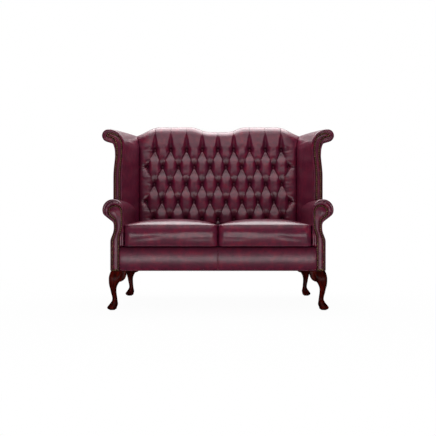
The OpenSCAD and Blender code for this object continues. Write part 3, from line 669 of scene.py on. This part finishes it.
def soft_min(a, b, blend):
    """The lesser of two values, with a rounded change from one to the other."""
    h = np.clip(0.5 + 0.5 * (b - a) / blend, 0, 1)
    return mix(b, a, h) - blend * h * (1 - h)


def hanging(down):
    """The rise of a diamond's upper part, by its share of a row below the button over it."""
    turn = np.clip((down - 0.5) / 0.4, 0, 1)
    return HANG * (np.minimum(down, 0.5) + 0.2 * turn + 0.4 * np.sin(np.pi * turn) / (2 * np.pi))


def fullness(x, z):
    """0 at a button, about 1 in the middle of a diamond."""
    p, q = diagonals(x, z)
    a, b = np.abs(np.sin(np.pi * p)), np.abs(np.sin(np.pi * q))
    luck = 1 + 0.07 * np.sin(12.9 * np.floor(p) + 78.2 * np.floor(q))
    cone = np.sqrt(np.clip(1 - (1 - a * a) * (1 - b * b), 0, 1))
    near = crease_gap(x, z)
    swell = CONE * cone + (1 - CONE) * luck * (a * b) ** 0.8 - 0.1 * cone * np.exp(-near / 2.6)
    # Under each button the leather hangs in one slope, over it the fold laps a little
    down_p, down_q = 1 - (p - np.floor(p)), q - np.floor(q)
    full = soft_min(FULL * swell, hanging(down_p + down_q), 0.06)
    for across, along in ((down_p, down_q), (down_q, down_p)):
        step = np.clip(FULL * CONE * np.sin(np.pi * along) - hanging(along), 0, None)
        full = full - step * (1 - ease((1 - across) * CREASE_SPACING / LAP))
    return full


def flutes(x, z):
    """The straight pleats over the top row: a wedge from each button that closes to a thin line."""
    rise = np.clip(z - LAST_ROW_Z, 0, None)
    d = crease_gap(x, np.maximum(z, LAST_ROW_Z + 1))
    shut = ease((rise - 88) / 26)
    half = mix(27 - 0.17 * np.minimum(rise, 100), 3.0, shut)
    deep = mix(np.clip(1 - rise / 110, 0.16, 1), 0.1, shut)
    slope = np.clip(1 - d / half, 0, 1)
    fold = 1 - 0.4 * (1 - shut) * bell(d, 3.4)
    return PLEAT_FULL * (1 - deep * slope ** 1.15 * fold) - 0.05 * np.exp(-d / 2.2)


def button_marks(x, z):
    """The hollow round each button, its small tucks, and the fans beside the outer ones."""
    out = 0
    near = crease_gap(x, z)
    for bx, bz in BUTTONS:
        dx, dz = x - bx, z - bz
        r = np.hypot(dx, dz) + 1e-6
        turn = np.arctan2(dz, dx)
        seed = bx * 0.37 + bz * 0.11
        out = out + bell(r - 16, 9) * (0.5 * np.cos(9 * turn + seed) + 0.3 * np.cos(13 * turn + 2 * seed))
        out = out - BUTTON_HOLLOW * bell(r, 12)
        out = out + 1.6 * bell(r - 30, 13) * bell(near - 6.5, 2.8) * (dz < 0)
        if abs(bx) > 3.9 * PITCH:
            away = dx * np.sign(bx)
            fan = bell(away - 24, 22) * (away > -5) * bell(dz, 22)
            out = out + 1.2 * fan * np.cos(dz / 4.2 + seed)
    return out


def face_relief(x, z):
    """How far the leather stands out from the depth of the buttons, in millimetres."""
    ax, edge = np.abs(x), zigzag(z)
    beyond = np.clip(ax - edge, 0, None)
    border = mix(fullness(np.sign(x) * edge, z), BORDER_FULL, 1 - np.exp(-beyond / 19))
    relief = np.where(ax > edge, border, fullness(x, z))
    relief = np.where(z > LAST_ROW_Z, mix(relief, flutes(x, z), ease((z - LAST_ROW_Z) / 30)), relief)
    calm = mix(1.0, 0.35, ease((z - LAST_ROW_Z) / 60))
    return TUFT * relief + button_marks(x, z) + calm * (0.45 * waves(x, z, 80, 5) + 0.12 * waves(x, z, 26, 6))


def scroll_share(rise, t):
    """How much of the scroll's reach is left a share of the way to the rear."""
    return 1 - 0.6 * t * ease(rise / 70)


def scroll_growth(t):
    """How much higher the wing's top runs towards the rear."""
    return 1 + 0.36 * t - 0.14 * t * t


def wing_inner(z, t):
    """The wing's inner face, with its outward curl near the top."""
    rise = (z - LEAN_HIGH_Z) / scroll_growth(t)
    u = np.interp(rise, [0, 35, 65, 95, 115.5, 122], [0, 1, 10, 30, 62, 95]) * scroll_share(rise, t)
    return wing_x(np.minimum(z, LEAN_HIGH_Z), t) + u


def side_place(c, y, z):
    """Draws a column of the border in to the arm or the wing beside it."""
    a = np.abs(c)
    t = np.clip((y - WING_Y) / (wing_rear_y(z) - WING_Y), 0, 1)
    wing = np.minimum(wing_inner(z, t) + 1.0, BACK_HALF_W)
    arm = np.where(z < 600, HALF_W + 0.5, BACK_HALF_W)
    limit = np.minimum(arm, wing)
    drawn = mix(OUTER_X, limit, (a - OUTER_X) / (BACK_HALF_W - OUTER_X))
    return np.where(a > OUTER_X, np.sign(c) * drawn, c)


def build_inside_back():
    step = PITCH / 52
    inner = np.arange(-OUTER_X, OUTER_X + step / 2, step)
    side = np.linspace(OUTER_X, BACK_HALF_W, 36)[1:]
    cols = np.r_[-side[::-1], inner, side]
    blank = 0 * cols
    dip = 1 - ease((np.abs(cols) - 60) / 130)
    roll_h = TOP_ROLL_H - 12.0 * dip
    leaning = 0.045 + 0.035 * dip
    slope = BACK_SLOPE + leaning
    crest = TUFT * CREST_FULL
    tops = top_z(cols)
    rows, rows_depth, crease_shade_rows = [], [], []

    def add(y, z, relief=crest + blank, place_side=True):
        y, z = y + blank, z + blank
        x = side_place(cols, y, z) if place_side else cols
        rows.append(np.stack([x, y, z], -1))
        # Painted shade: darker where the leather sinks towards the buttons, partly a dark antique finish, and
        # along each crease
        rows_depth.append(np.clip(1 - relief / TUFT, 0, 1))
        closed = np.where(z > LAST_ROW_Z, ease((z - LAST_ROW_Z - 50) / 40), 1)
        crease_shade_rows.append(np.exp(-crease_gap(x, z) / 2.4) * (np.abs(x) < 4.05 * PITCH) * closed)

    def valley(z):
        """The border sinks where it meets the arm or the wing."""
        x = side_place(cols, face_y(z) - 20, z)
        limit = side_place(np.full_like(cols, BACK_HALF_W), face_y(z) - 20, z)
        gap = np.clip(limit - np.abs(x), 0, None)
        return x, 22 * np.exp(-gap / 13), 30 * np.exp(-gap / 30) * ease((z - LAST_ROW_Z) / 110)

    # The buttoned face
    below = FIRST_ROW_Z - 60
    for z in np.r_[np.linspace(DECK_TOP + 1, below, 10, endpoint=False),
                   np.arange(below, LAST_ROW_Z + 1, ROW / 40)]:
        x, sink, turned = valley(z + blank)
        relief = face_relief(x, z + blank) - sink
        add(face_y(z) - relief + turned, z, relief)
    # The pleats over the top row, which lean back
    start = tops - roll_h
    for t in np.linspace(0, 1, 40)[1:]:
        z = mix(LAST_ROW_Z, start, t)
        x, sink, turned = valley(z)
        relief = face_relief(x, z) - sink * (1 - 0.6 * t)
        add(face_y(z) - relief + leaning * np.clip(z - start + 60, 0, None) + turned, z, relief)
    # The roll over the top rail, from the pleats' last slope
    base_y = face_y(start) - crest + leaning * 60
    for a in np.radians(np.linspace(0, 90, 26)[1:]):
        along = start + roll_h * math.sin(a) + 0.6 * TOP_ROLL_D * (1 - math.cos(a))
        relief = face_relief(cols, along) - sink * 0.4
        lost = (crest - relief) * (1 - 0.25 * a)
        y = base_y + TOP_ROLL_D * (1 - math.cos(a)) + slope * roll_h * math.sin(a)
        y = y + (lost + turned) * math.cos(a)
        add(y, start + roll_h * math.sin(a) - lost * math.sin(a), relief, place_side=a < 0.3)
    # Down behind the rail, and inside down to the deck
    end_y, end_z = outside_y(tops - 8) - 9, tops - 8
    last_y, last_z = rows[-1][:, 1].copy(), rows[-1][:, 2].copy()
    for t in np.linspace(0, 1, 9)[1:]:
        sag = 2.0 * math.sin(math.pi * t)
        add(mix(last_y, end_y, t), mix(last_z, end_z, t) + sag, place_side=False)
    low = tops - 24.7
    for t in (0.35, 0.7, 1.0):
        y = mix(end_y, outside_y(low), math.sin(t * math.pi / 2))
        add(y, mix(end_z, low, t ** 1.3), place_side=False)
    add(outside_y(low) - 12, low, place_side=False)
    add(outside_y(low - 14) - 36, low - 14)
    add(outside_y(DECK_TOP + 1) - 44, DECK_TOP + 1)
    rows = np.stack(rows)
    # Painted shade is lifted where the leather faces up, as light from above falls there even close to a
    # button
    lean = np.gradient(rows[..., 1], axis=0) / (np.abs(np.gradient(rows[..., 2], axis=0)) + 0.3)
    facing_up = np.clip((lean - 0.3) / 0.35, 0, 1)
    depth = np.array(rows_depth) * (1 - 0.75 * facing_up)
    # Each crease painted as a thin dark line of shade
    depth = np.maximum(depth, 0.8 * np.array(crease_shade_rows))
    # Painted shadow: the leather low behind the cushions is darkened, as the cushions shade it
    cushion_shadow = np.clip((FIRST_ROW_Z - 5 - rows[..., 2]) / 25, 0, 1)
    depth = np.maximum(depth, 0.85 * cushion_shadow).T
    piece("tufted_back", capped(rows.transpose(1, 0, 2)), ("inside_back",), depth=depth)
    normal = (0, -math.cos(BACK_TILT), math.sin(BACK_TILT))
    shape = merged([dome(np.array([x, face_y(z) + 2.0, z]), normal, BUTTON_R, BUTTON_RISE, 20, 7, 2.4)
                    for x, z in BUTTONS])
    # Painted shade: the buttons are darkened and dulled, as they sit in shaded hollows
    piece("covered_buttons", shape, ("back_buttons",), depth=np.full(len(shape[0]), 0.7))


# Padding with a facing: the arms and the wings

def rim(outer, facing, y_facing, y_outer, share, puff, pleats=0, narrow=10.0, lift=3.0, seam=0.75):
    """Rows over a padded rim: a half-round tube, a seam, then a round edge to the side."""
    span = outer - facing
    width = np.linalg.norm(span, axis=1)
    wide = ease((width - narrow) / 10)
    tube_part = mix(1.0, share, wide)
    rows, dark = [], []
    for a in np.linspace(0, np.pi, 13):
        lateral = tube_part * (1 - math.cos(a)) / 2
        # Painted shade: dark beside the facing, in the seam's groove and a little in the pleats
        dark.append(0.9 * math.exp(-a / 0.35) + seam * wide * math.exp(-(np.pi - a) / 0.3) + 0.12 * pleats)
        h = (lift + puff * width * tube_part) * math.sin(a)
        y = mix(y_facing, mix(y_outer, y_facing - 1.5, wide), (1 - math.cos(a)) / 2) - h
        y = y + pleats * math.sin(a)
        rows.append(np.column_stack([facing + span * lateral[:, None], y]))
    last = rows[-1][:, 2]
    for a in np.radians(np.linspace(0, 90, 8)[1:]):
        lateral = tube_part + (1 - tube_part) * math.sin(a)
        edge = (1 - tube_part) * width
        swell = 0.35 * edge * math.sin(2 * a)
        y = last + edge * 0.9 * (1 - math.cos(a)) - swell * wide
        rows.append(np.column_stack([facing + span * lateral[:, None], y]))
        # Painted shade along the seam, fading round the edge
        dark.append(0.67 * seam * wide * math.exp(-a / 0.3))
    return rows, dark


def facing_rows(facing, medial, y_edge, y_line, crown, tuck):
    """A padded facing: a tucked edge, a flat band under the nails, then a crown to the middle."""
    reach = np.linalg.norm(medial - facing, axis=1)
    band = np.minimum(NAIL_BAND, 0.62 * reach)
    # Each step: share across, depth, and painted shade, dark at the tucked edge and round the nail heads,
    # fading over the crown
    steps = [(0 * reach, y_edge + tuck, 0.85)]
    for flat in (0, 0.12, 0.3, 0.55, 0.8, 1.0):
        y = mix(y_edge, y_line, min(1.0, flat / 0.12))
        steps.append((flat * band / reach, y, 0.85 if flat < 0.9 else 0.55))
    for w in (0.08, 0.2, 0.35, 0.52, 0.7, 0.86, 1.0):
        rise = crown * np.clip((reach - band) / 9, 0.3, 1) * math.sin(w * math.pi / 2) ** 0.8
        steps.append(((band + (reach - band) * w) / reach, y_line - rise, 0.3 * math.exp(-w / 0.1)))
    rows = [np.column_stack([facing + (medial - facing) * share[:, None], y + 0 * reach])
            for share, y, shade in steps]
    return rows, [shade for share, y, shade in steps]


def nail_places(line):
    return resample(line, int(lengths(line)[-1] // NAIL_PITCH) + 1)


def nail_heads(name, place, spots):
    shape = merged([dome(spot, FORWARD, HEAD_RADIUS, HEAD_RISE) for spot in spots])
    piece(f"{name}_nail_heads_{place}", shape, (f"{name}_nails_{place}",), "brass")


def inset_line(line, by):
    """An open line moved to its left by a distance."""
    ahead = np.gradient(line, axis=0)
    ahead /= np.linalg.norm(ahead, axis=1)[:, None]
    return line + by * np.stack([-ahead[:, 1], ahead[:, 0]], 1)


# Arms

def outer_u(z):
    return mix(ARM_BASE_W, ARM_NECK_W, ease((z - 380) / 70))


def inner_u(z):
    return mix(STEM_IN_BASE, STEM_IN_NECK, ease((z - 400) / 66))


def arm_lines():
    """Matched points of the arm's outline and its facing's: up the outside, over the scroll and down."""
    z = np.linspace(LEG_H + 0.5, NECK_Z, 56)
    zf = np.linspace(LEG_H + 0.5, FACING_NECK_Z, 56)
    outer = [path(outer_u(z), z)]
    facing = [path(outer_u(zf) - FACING_MARGIN, zf)]
    turn = np.radians(np.linspace(SCROLL_START, 180, 74))
    arc = path(ROLL_R + ROLL_R * np.cos(turn), ROLL_Z + ROLL_R * np.sin(turn))
    head = path(HEAD_U + HEAD_R * np.cos(turn), HEAD_Z + HEAD_R * np.sin(turn))
    t = np.linspace(0, 1, 16)[1:-1, None]
    outer += [mix(outer[0][-1], arc[0], t), arc]
    facing += [mix(facing[0][-1], head[0], t), head]
    t = np.linspace(0, 1, 46)[1:]
    z = mix(ROLL_Z, DECK_TOP + 3, t)
    zf = mix(HEAD_Z, DECK_TOP + 1, t)
    outer.append(path(0, z))
    facing.append(path(inner_u(zf), zf))
    z = np.linspace(DECK_TOP - 0.5, LEG_H + 0.5, 26)
    outer.append(path(inner_u(z) - 1.5, z))
    facing.append(path(inner_u(z), z))
    outer = np.vstack(outer)
    inner_start = len(outer) - len(z)
    outer[:inner_start] = soften(outer[:inner_start], 8)
    return outer, soften(np.vstack(facing), 6)


def arm_space(side, uzy):
    """From distances off the arm's inner face to the sofa's frame."""
    return np.stack([side * (HALF_W + uzy[..., 0]), uzy[..., 2], uzy[..., 1]], -1)


def arm_pleats(facing):
    """How far the pleats round the scroll's head fold in."""
    angle = np.degrees(np.arctan2(facing[:, 1] - HEAD_Z, facing[:, 0] - HEAD_U))
    pleats = np.zeros(len(facing))
    for at in ARM_PLEATS:
        pleats += ARM_PLEAT_D * bell(np.abs(angle - at) * math.radians(1) * HEAD_R, 3.0)
    return pleats * (facing[:, 1] > FACING_NECK_Z - 18)


def build_arm(place, side):
    outer, facing = arm_lines()
    u, z = facing.T
    run = lengths(facing)
    y_edge, y_line = FRONT_Y - 8.0, FRONT_Y - 11.5
    rows, dark = rim(outer, facing, FRONT_Y - 7.0, FRONT_Y + 4.0, 0.58, 0.36, arm_pleats(facing))
    front = rows[-1]
    rear = outside_y(front[:, 1]) - PANEL_T
    for t in (0.012, 0.03, 0.06, 0.12, 0.25, 0.4, 0.55, 0.7, 0.85, 1.0):
        y = mix(front[:, 2], rear, t)
        sag = 0.4 * waves(run, y, 190, 21)
        off = (front[:, :2] - [ROLL_R, ROLL_Z]) * (front[:, 1:2] > NECK_Z)
        reach = np.linalg.norm(off, axis=1)[:, None] + 1e-6
        at = front[:, :2] + off / reach * (sag * (t < 1))[:, None]
        rows.append(np.column_stack([at, y]))
        dark.append(0)
    leather_skin("arm_roll", place, "arm_pad", [arm_space(side, r) for r in rows], FORWARD, dark)
    # The facing's middle line runs up the stem to the middle of the head
    stem = path((outer_u(z) - FACING_MARGIN + inner_u(z)) / 2, z)
    head, in_head = [[HEAD_U, HEAD_Z]], (z > HEAD_Z)[:, None]
    near = ease((z - FACING_NECK_Z + 25) / 50)[:, None]
    medial = mix(np.where(in_head, head, stem), head, near * ~in_head)
    medial[:, 1] = np.clip(medial[:, 1], LEG_H + 12, None)
    rows, dark = facing_rows(facing, medial, y_edge, y_line, 5.0, 6.0)
    rows = [arm_space(side, r) for r in rows]
    leather_skin("arm_facing_leather", place, "arm_facing", rows, FORWARD, dark)
    nails = inset_line(facing, NAIL_INSET)
    nails[:, 1] = np.clip(nails[:, 1], LEG_H + NAIL_INSET, None)
    nails = np.vstack([nails, nails[:1]])
    nail_heads("arm", place, [np.array([side * (HALF_W + u), y_line + 0.2, z])
                              for u, z in nail_places(nails)[:-1]])
    z = np.linspace(LEG_H + 1, NECK_Z - 4, 40)
    strip = []
    for t in np.r_[0, 0.004, 0.012, 0.03, np.linspace(0.08, 0.96, 16), 0.99, 1.0]:
        y = mix(FRONT_Y + 2, outside_y(z) - PANEL_T, t)
        lift = 1.6 * min(1.0, t * 60) + 1.5 * math.sin(math.pi * t)
        strip.append(arm_space(side, np.column_stack([outer_u(z) + lift - (3.0 if t == 0 else 0), z, y])))
    leather_skin("outside_arm_leather", place, "outside_arm", strip, (side, 0, 0))


# Wings

# Matched points (u, rise) of the scroll's outline and of its facing's
SCROLL_PAIRS = [
    ((0, 0), (14, 0)), ((1, 35), (14.5, 30)), ((10, 65), (22, 58)), ((30, 95), (38, 82)),
    ((62, 115.5), (66, 95)), ((95, 122), (90, 98)), ((121, 114.5), (104, 93)), ((135, 98), (110, 86)),
    ((138, 78), (112, 80)), ((132, 62), (108, 74)), ((120, 50), (98, 71)), ((98, 42), (84, 68)),
    ((80, 38), (70, 59)), ((70, 28), (60, 44)), ((64, 12), (54, 22)), ((60, -8), (50.5, -8)),
    ((57.6, -36), (49.3, -36))]


def wing_lines():
    """Matched points of the wing's outline and its facing's: up the inside, round the scroll and down."""
    z_in = np.linspace(WING_INNER_BASE_Z, LEAN_HIGH_Z, 66)[:-1] - LEAN_HIGH_Z
    z_out = np.linspace(LEAN_HIGH_Z - 36, WING_BASE_Z, 62)[1:] - LEAN_HIGH_Z
    lines = []
    for k, inner, out in ((0, 0, WING_OUT), (1, 14, 49.3)):
        scroll = spline([pair[k] for pair in SCROLL_PAIRS], 8)
        lines.append(np.vstack([path(inner, z_in), scroll, path(out, z_out)]))
    return lines


def wing_space(side, u, rise, depth, t):
    """A wing point: u off the inner face, rise over the lean's top, depth, share of the way back."""
    z = LEAN_HIGH_Z + np.where(rise > 0, rise * scroll_growth(t), rise)
    end = (outside_y(z) - 6.3 / math.cos(RAKE) - WING_Y) / (wing_rear_y(z) - WING_Y)
    s = t * end
    x = wing_x(np.minimum(z, LEAN_HIGH_Z), s) + u * scroll_share(rise, t)
    y = mix(WING_Y, wing_rear_y(z), s) + depth
    return np.stack([side * x, y, z], -1)


def facing_middle(facing):
    """The facing's middle line, matched to each point of its edge by its nearest partner across."""
    tip = int(np.argmax(facing[:, 0]))
    up, down = facing[:tip + 1], facing[tip:][::-1]
    count = 80
    centre = ((resample(up, count) + resample(down, count)) / 2)[:-6]

    def beside(edge):
        share = np.minimum(lengths(edge) / lengths(edge)[-1] * (count - 1), len(centre) - 1)
        return np.stack([np.interp(share, np.arange(len(centre)), centre[:, k]) for k in (0, 1)], 1)

    return np.vstack([beside(up), beside(down)[::-1][1:]])


def build_wing(place, side):
    outer, facing = wing_lines()
    rows, dark = rim(outer, facing, -6.5, 5.0, 0.3, 0.1, narrow=2.0, lift=1.0, seam=0.1)
    skin_rows = [wing_space(side, *r.T, 0.0) for r in rows]
    front = rows[-1]
    run = lengths(outer)
    inside = run < run[-1] / 2
    for t in np.linspace(0, 1, 22)[1:]:
        swell = 2.5 * math.sin(math.pi * min(1, t * 1.1)) * (outer[:, 1] < 60) * inside
        swell = swell + 0.3 * waves(run, t * 400 + 0 * run, 190, 31) * inside
        skin_rows.append(wing_space(side, front[:, 0] - swell, front[:, 1], front[:, 2] * (1 - t), t))
        dark.append(0)
    leather_skin("wing_leather", place, "wing_pad", skin_rows, FORWARD, dark)
    rows, dark = facing_rows(facing, facing_middle(facing), -6.0, -9.0, 3.5, 5.0)
    rows = [wing_space(side, *r.T, 0.0) for r in rows]
    leather_skin("wing_facing_leather", place, "wing_facing", rows, FORWARD, dark)
    inset = inset_line(facing, -NAIL_INSET)
    inset = soften(inset[inset[:, 1] > WING_LOW_Z + NAIL_R - LEAN_HIGH_Z], 4)
    nail_heads("wing", place, [wing_space(side, u, rise, -8.8, 0.0) for u, rise in nail_places(inset)])
    # The outside panel follows the scroll's underside and tucks in under it
    rise = np.linspace(WING_BASE_Z - LEAN_HIGH_Z, WING_PANEL_TOP, 60)
    under = np.interp(rise, [-36, -8, 12, 28], [WING_OUT + 0.6, 60, 64, 70])
    tuck = mix(1.0, -1.5, np.clip((rise - WING_PANEL_TOP + 5) / 5, 0, 1))
    strip = []
    for t in np.r_[0, 0.006, 0.02, np.linspace(0.06, 0.96, 18), 0.99, 1.0]:
        lift = 0.4 + 1.2 * min(1.0, t * 50) + 1.8 * math.sin(math.pi * t)
        strip.append(wing_space(side, under + lift * tuck, rise, 4.0 * (1 - t) + 0 * rise, t))
    leather_skin("outside_wing_leather", place, "outside_wing", strip, (side, 0, 0))


# Seat cushions

# Folds along the front: height share, rise along it, start and stop shares, depth
FRONT_FOLDS = [(0.60, -0.08, 0.02, 0.5, 1.6), (0.34, 0.06, 0.0, 0.42, 1.4), (0.44, -0.14, 0.55, 1.0, 1.6),
               (0.72, 0.02, 0.62, 1.0, 1.0)]
SIM_FRAMES = 20
SWELL_CAP = 16.0


def cushion_plan(inset, count=200, draw=0.5):
    """A cushion's plan at an inset: round corners, sides drawn in a little between them."""
    hx, hy = CUSHION_HALF - inset
    r = min(max(8.0, CUSHION_CORNER - inset), hx, hy)
    line = []
    for quarter, (sx, sy) in enumerate(((1, 1), (-1, 1), (-1, -1), (1, -1))):
        for a in np.radians(np.linspace(90 * quarter, 90 * quarter + 90, 12)):
            line.append([sx * (hx - r) + r * math.cos(a), sy * (hy - r) + r * math.sin(a)])
    line = resample(np.array(line + line[:1]), count + 1)[:-1]
    px, py = line[:, 0] / hx, line[:, 1] / hy
    line[:, 0] -= np.sign(px) * draw * (np.abs(px) > 0.9) * (1 - py ** 2)
    line[:, 1] -= np.sign(py) * draw * (np.abs(py) > 0.9) * (1 - px ** 2)
    return line + CUSHION_MID


def crown_height(plan, rise):
    """How far a cushion's top stands over its welt: it rises fast at the front, slowly at the sides."""
    across, along = np.clip(1 - np.abs(plan - CUSHION_MID) / CUSHION_HALF, 0, 1).T
    side = 1 - (1 - across) ** CROWN_SIDE_POWER
    return rise * side * (1 - (1 - along) ** (CROWN_FRONT_POWER / np.clip(side, 0.3, 1)))


def cushion_rings(shrink):
    """Closed rings from the middle of the underside, round the boxing and in over the crown."""
    low = CUSHION_LOW + shrink * 0.3
    rings = [(inset, low) for inset in (250, 190, 130, 80, 40, 18, 7, 2)]
    rings += [(0, mix(low + 2, CUSHION_TOP, t)) for t in np.linspace(0, 1, 9)]
    rings += [(inset, CUSHION_TOP + 0.5)
              for inset in (2, 5, 9, 14, 20, 28, 38, 50, 66, 84, 108, 136, 168, 204, 240)]
    rows = []
    for inset, z in rings:
        plan = cushion_plan(inset + shrink)
        rise = crown_height(plan, CUSHION_CROWN - shrink) if z > CUSHION_TOP else 0
        rows.append(np.column_stack([plan, z + rise + 0 * plan[:, 0]]))
    return rows


def settle(obj):
    """Inflates a cushion as sewn leather over its filling; its seams hold."""
    mesh = obj.data
    rest = np.array([v.co for v in mesh.vertices])
    z = rest[:, 2] / MM
    plan = np.abs(rest[:, :2] / MM - CUSHION_MID * [np.sign(rest[:, 0].mean()), 1])
    at_edge = (plan > CUSHION_HALF - 14).any(1)
    seam = at_edge & ((np.abs(z - CUSHION_TOP) < 6) | (np.abs(z - CUSHION_LOW) < 8))
    held = seam | (z < CUSHION_LOW + 1.5)
    group = obj.vertex_groups.new(name="held")
    group.add(np.nonzero(held)[0].tolist(), 1.0, "REPLACE")
    cloth = obj.modifiers.new("leather", "CLOTH")
    assign(cloth.settings, vertex_group_mass="held", use_pressure=True, uniform_pressure_force=4.0,
           tension_stiffness=60, compression_stiffness=60, bending_stiffness=6, quality=6, mass=0.5)
    cloth.settings.effector_weights.gravity = 0
    assign(cloth.point_cache, frame_start=1, frame_end=SIM_FRAMES)
    for number in range(1, SIM_FRAMES + 1):
        scene.frame_set(number)
    step = np.array([v.co for v in evaluated(obj).data.vertices]) - rest
    obj.modifiers.clear()
    obj.vertex_groups.clear()
    scene.frame_set(1)
    size = np.linalg.norm(step, axis=1)[:, None] + 1e-9
    step *= np.minimum(1, SWELL_CAP * MM / size)
    mesh.vertices.foreach_set("co", (rest + step).ravel())
    mesh.update()


def front_swell(x, up):
    """How far the front boxing stands out, by the width and the share of its height."""
    along = (x - CUSHION_X0) / (CUSHION_X1 - CUSHION_X0)
    fold = 0
    for level, tilt, start, stop, depth in FRONT_FOLDS:
        line = level + tilt * (along - start) / (stop - start) + 0.02 * np.sin(9 * along + 5 * level)
        strength = ease((along - start) / 0.15) * ease((stop - along) / 0.2)
        fold = fold - depth * strength * bell(up - line, 0.085)
    ends = ease(along / 0.07) * ease((1 - along) / 0.07)
    swell = np.sin(np.pi * np.clip(up, 0, 1) ** 1.3)
    return fold + CUSHION_BELLY * ends * swell ** np.where(up < 0.587, 0.8, 1.0)


def build_cushion(place, side):
    body = f"cushion_{place}"
    points, faces = capped(cushion_rings(0.5))
    obj = piece(f"seat_cushion_{place}", (points * [side, 1, 1], faces),
                (f"cushion_cover_{place}", f"cushion_core_{place}"), body=body)
    remeshed(obj, CUSHION_CELL, 2)
    settle(obj)
    # Soft creases across the front boxing, fullness over the top
    mesh = obj.data
    co = np.array([v.co for v in mesh.vertices]) / MM
    normal = np.array([v.normal for v in mesh.vertices])
    front = np.clip(-normal[:, 1], 0, 1) ** 2
    topside = np.clip(normal[:, 2], 0, 1) ** 2
    swell = front_swell(co[:, 0] * side, (co[:, 2] - CUSHION_LOW) / CUSHION_SIDE_H)
    lift = front * (swell + 0.12 * waves(co[:, 0], co[:, 2], 110, 41))
    lift = lift + topside * 0.5 * waves(co[:, 0], co[:, 1], 170, 43)
    co = co + normal * lift[:, None]
    co[:, 2] = np.maximum(co[:, 2], CUSHION_LOW - 0.05)
    co[:, 0] = side * np.clip(co[:, 0] * side, CUSHION_X0 + 0.2, CUSHION_X1 + 1.0)
    mesh.vertices.foreach_set("co", (co * MM).ravel())
    assign(obj.modifiers.new("fine", "SUBSURF"), levels=1, render_levels=1)
    applied(obj)
    parts = []
    for z, inset in ((CUSHION_TOP - 1.0, 1.2), (CUSHION_LOW + 4.2, 2.6)):
        plan = cushion_plan(inset, count=260)
        line = np.column_stack([plan * [side, 1], np.full(len(plan), z)])
        line[:, 2] += 0.5 * np.sin(np.arange(len(line)) * 0.35)
        parts.append(tube(line, WELT_R, closed=True))
    piece(f"cushion_welts_{place}", merged(parts), body=body)


for place, side in SIDES:
    for front in (True, False):
        build_leg(place, side, front)
build_border()
build_platform()
build_inside_back()
for build in (build_arm, build_wing):
    for place, side in SIDES:
        build(place, side)
# The outside back is the frame's own panel with softened edges
outside_back = add_object("outside_back_leather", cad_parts["outside_back"].data.copy())
remeshed(outside_back, PANEL_CELL, 6)
declare(outside_back, ("outside_back",))
for place, side in SIDES:
    build_cushion(place, side)


# Stage: a pale floor that keeps a soft shadow, and plain studio light

ROOM_LIGHT = 0.01
FLOOR_HALF = 12.0
CAMERA_PLACE = (0, -3.805, 0.485)
CAMERA_LENS = 50.335
SENSOR_WIDTH = 36
IMAGE_WIDTH = 436
HORIZON_SHIFT = 5


def clear_tree(owner):
    owner.use_nodes = True
    owner.node_tree.nodes.clear()
    return owner.node_tree


def split_rays(tree, kind, share, others, seen):
    """Ends a shader tree: what the camera sees directly, and what all other light meets."""
    both = node(tree, "MixShader", {"Fac": share, 1: others, 2: seen})
    node(tree, kind, {"Surface": both.outputs[0]})


def add_floor():
    h = FLOOR_HALF
    mesh = bpy.data.meshes.new("floor")
    mesh.from_pydata([(-h, -h, 0), (h, -h, 0), (h, h, 0), (-h, h, 0)], [], [(0, 1, 2, 3)])
    material = bpy.data.materials.new("floor")
    tree = clear_tree(material)
    place = node(tree, "TexCoord").outputs["Object"]
    spread = node(tree, "VectorMath", {0: place}, operation="LENGTH").outputs["Value"]
    share = {0: remap(tree, spread, 0.8, 2.2, 0.97, 1.0),
             1: node(tree, "LightPath").outputs["Is Camera Ray"]}
    share = node(tree, "Math", share, operation="MULTIPLY").outputs[0]
    matt = node(tree, "BsdfDiffuse", {"Color": (0.9, 0.9, 0.9, 1)}).outputs[0]
    glow = node(tree, "Emission").outputs[0]
    split_rays(tree, "OutputMaterial", share, matt, glow)
    obj = add_object("floor", mesh)
    obj.data.materials.append(material)
    obj.visible_glossy = False


def add_lamp(name, place, target, size, watts):
    light = bpy.data.lights.new(name, "AREA")
    obj = add_object(name, assign(light, shape="RECTANGLE", size=size[0], size_y=size[1], energy=watts))
    obj.location = place
    obj.rotation_euler = (Vector(target) - Vector(place)).to_track_quat("-Z", "Y").to_euler()
    obj.visible_camera = False


def add_world():
    scene.world = bpy.data.worlds.new("studio")
    tree = clear_tree(scene.world)
    room, seen = [node(tree, "Background", {"Color": (1, 1, 1, 1), "Strength": strength}).outputs[0]
                  for strength in (ROOM_LIGHT, 1.0)]
    share = node(tree, "LightPath").outputs["Is Camera Ray"]
    split_rays(tree, "OutputWorld", share, room, seen)


def add_camera():
    data = bpy.data.cameras.new("camera")
    assign(data, lens=CAMERA_LENS, sensor_width=SENSOR_WIDTH, shift_y=HORIZON_SHIFT / IMAGE_WIDTH)
    scene.camera = add_object("camera", data)
    assign(scene.camera, location=CAMERA_PLACE, rotation_euler=(math.pi / 2, 0, 0))


add_floor()
add_world()
# Each lamp's place, target, size and power
add_lamp("above", (0, -0.7, 2.6), (0, -0.3, 0.6), (2.4, 0.9), 13.5)
add_lamp("overhead", (0, -1.9, 2.4), (0, 0.1, 0.6), (2.4, 0.9), 10.5)
add_lamp("rear_top", (0, 1.15, 2.6), (0, 1.05, 0.6), (2.6, 2.3), 95)
add_lamp("backdrop", (0, 2.6, 1.7), (0, 0, 1.2), (5.0, 1.8), 12)
add_lamp("front", (0, -2.4, 0.22), (0, 0, 0.22), (3.6, 0.5), 20)
for side in (-1, 1):
    add_lamp(f"side_{side}", (side * 2.6, -1.6, 0.8), (0, 0, 0.8), (0.35, 1.5), 1.2)
add_camera()
scene.view_settings.view_transform = "Standard"
